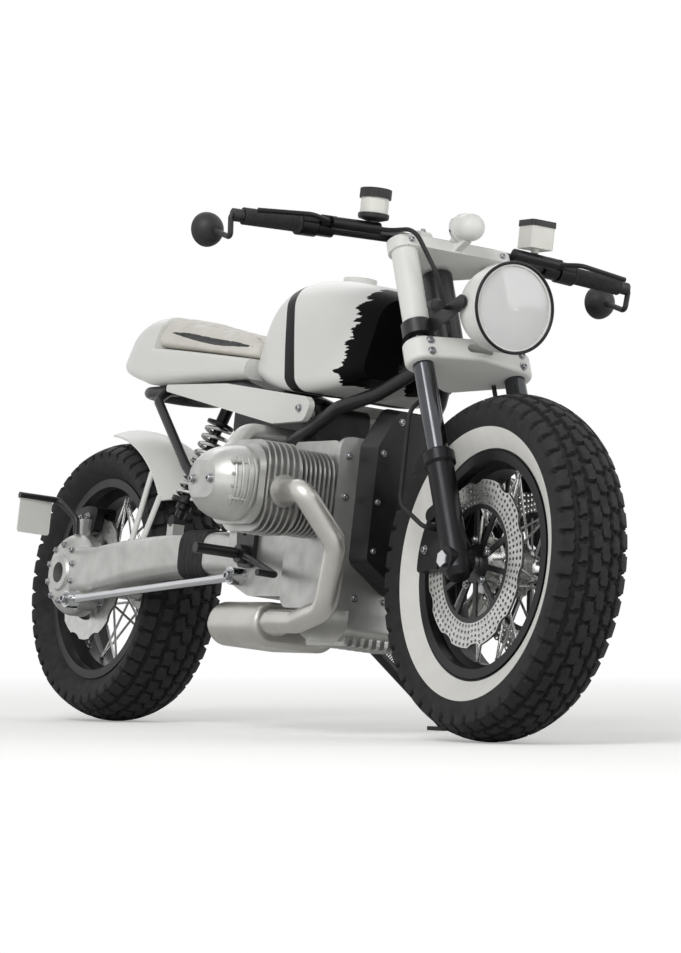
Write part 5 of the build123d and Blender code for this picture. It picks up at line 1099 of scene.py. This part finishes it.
class RACER_OT_stage(bpy.types.Operator):
    """Set the floor, the soft light and the camera of the drawing's view"""

    bl_idname = "racer.stage"
    bl_label = "Stage"

    def execute(self, context):
        look = context.scene.racer_stage
        scene = context.scene
        scene.view_settings.view_transform = "Standard"
        turn = np.linspace(0, 2 * np.pi, 96, endpoint=False)
        rings = np.array((0.0, 3.0, 12.0, 60.0))[:, None]
        disc = np.stack(np.broadcast_arrays(rings * np.cos(turn), rings * np.sin(turn), 0.0), -1)
        mesh = bpy.data.meshes.new("floor")
        mesh.from_pydata(disc.reshape(-1, 3).tolist(), [], grid_faces(4, 96, False, True).tolist())
        floor = bpy.data.objects.new("floor", mesh)
        scene.collection.objects.link(floor)

        # Painted studio floor: pale and matt, white to the camera away from the machine
        paint = bpy.data.materials.new("pale_floor_paint")
        paint.use_nodes = True
        tree = paint.node_tree
        surface = tree.nodes["Principled BSDF"]
        surface.inputs["Base Color"].default_value = linear(look.floor)
        surface.inputs["Roughness"].default_value = 0.9
        surface.inputs["Specular IOR Level"].default_value = 0.1
        white = (1, 1, 1, 1)
        place = add_node(tree, "TexCoord").outputs["Object"]
        reach = add_node(tree, "VectorMath", [(0, place)], operation="LENGTH").outputs["Value"]
        far = ranged(tree, reach, 1.6, 5.0, 0.0, 1.0)
        glow = add_node(tree, "Emission", Color=white, Strength=1.0).outputs["Emission"]
        seen = add_node(tree, "LightPath").outputs["Is Camera Ray"]
        lift = ranged(tree, seen, 0.0, 1.0, 0.0, 0.3)
        pale = add_node(tree, "Emission", [("Strength", lift)], Color=white).outputs["Emission"]
        lifted = add_node(tree, "AddShader", [(0, surface.outputs["BSDF"]), (1, pale)]).outputs["Shader"]
        blend = add_node(tree, "MixShader", [(0, far), (1, lifted), (2, glow)]).outputs["Shader"]
        tree.links.new(blend, tree.nodes["Material Output"].inputs["Surface"])
        mesh.materials.append(paint)

        # White to the camera and in glass and gloss, a dim even light elsewhere
        world = bpy.data.worlds.new("studio")
        scene.world = world
        world.use_nodes = True
        sky = world.node_tree
        rays = add_node(sky, "LightPath").outputs
        shown = calc(sky, "MAXIMUM", rays["Is Camera Ray"], rays["Is Transmission Ray"])
        shown = calc(sky, "MAXIMUM", shown, rays["Is Glossy Ray"])
        backdrop = sky.nodes["Background"]
        backdrop.inputs["Color"].default_value = white
        sky.links.new(ranged(sky, shown, 0.0, 1.0, 0.27, 1.0), backdrop.inputs["Strength"])

        # Softboxes: name, place, size and share of the key's power
        boxes = (
            ("key_softbox", (3.2, -4.2, 4.4), 3.0, 1.0),
            ("fill_softbox", (4.5, 3.5, 2.6), 3.0, 0.35),
            ("back_softbox", (-4.2, 1.5, 3.6), 2.5, 0.15),
        )
        machine = Vector((0, 0, 0.45))
        for name, at, size, share in boxes:
            lamp = bpy.data.lights.new(name, "AREA")
            lamp.energy = look.key * share
            lamp.size = size
            holder = bpy.data.objects.new(name, lamp)
            holder.location = at
            holder.rotation_mode = "QUATERNION"
            holder.rotation_quaternion = (machine - Vector(at)).to_track_quat("-Z", "Y")
            scene.collection.objects.link(holder)

        camera = bpy.data.cameras.new("camera")
        camera.lens = look.lens
        camera.sensor_width = 36
        camera.clip_end = 200
        viewer = bpy.data.objects.new("camera", camera)
        yaw, tilt = np.radians(149.10), np.radians(1.14)
        gaze = Vector((np.cos(yaw) * np.cos(tilt), np.sin(yaw) * np.cos(tilt), np.sin(tilt)))
        viewer.location = (8.2626, -4.9416, 0.3218)
        viewer.rotation_mode = "QUATERNION"
        viewer.rotation_quaternion = gaze.to_track_quat("-Z", "Y")
        scene.collection.objects.link(viewer)
        scene.camera = viewer
        return {"FINISHED"}


class RACER_PT_dress(bpy.types.Panel):
    """Sidebar panel with the dress of the machine"""

    bl_label = "Racer"
    bl_idname = "RACER_PT_dress"
    bl_space_type = "VIEW_3D"
    bl_region_type = "UI"
    bl_category = "Racer"

    def draw(self, context):
        for setting in GROUPS:
            group = getattr(context.scene, setting)
            box = self.layout.box()
            for key in group.bl_rna.properties.keys():
                if key not in ("rna_type", "name"):
                    box.prop(group, key)
        for operator in OPERATORS:
            self.layout.operator(operator.bl_idname)


GROUPS = {
    "racer_paint": RacerPaint,
    "racer_tread": RacerTread,
    "racer_seat": RacerSeat,
    "racer_trim": RacerTrim,
    "racer_stage": RacerStage,
}
OPERATORS = (
    RACER_OT_finishes,
    RACER_OT_tyres,
    RACER_OT_wheels,
    RACER_OT_seat,
    RACER_OT_controls,
    RACER_OT_lamps,
    RACER_OT_ribs,
    RACER_OT_springs,
    RACER_OT_fasteners,
    RACER_OT_stage,
)


def register():
    """Registers the classes and hangs the settings on the scene."""
    for made in (*GROUPS.values(), *OPERATORS, RACER_PT_dress):
        bpy.utils.register_class(made)
    for key, made in GROUPS.items():
        setattr(bpy.types.Scene, key, bpy.props.PointerProperty(type=made))


def unregister():
    """Takes the settings and the classes away again."""
    for key in GROUPS:
        delattr(bpy.types.Scene, key)
    for made in (RACER_PT_dress, *reversed(OPERATORS), *reversed(GROUPS.values())):
        bpy.utils.unregister_class(made)


def main():
    """Dresses the machine piece by piece."""
    register()
    bpy.ops.racer.finishes()
    bpy.ops.racer.tyres()
    bpy.ops.racer.wheels()
    bpy.ops.racer.seat()
    bpy.ops.racer.controls()
    bpy.ops.racer.lamps()
    bpy.ops.racer.ribs()
    bpy.ops.racer.springs()
    bpy.ops.racer.fasteners()
    bpy.ops.racer.stage()


if __name__ == "__main__":
    main()
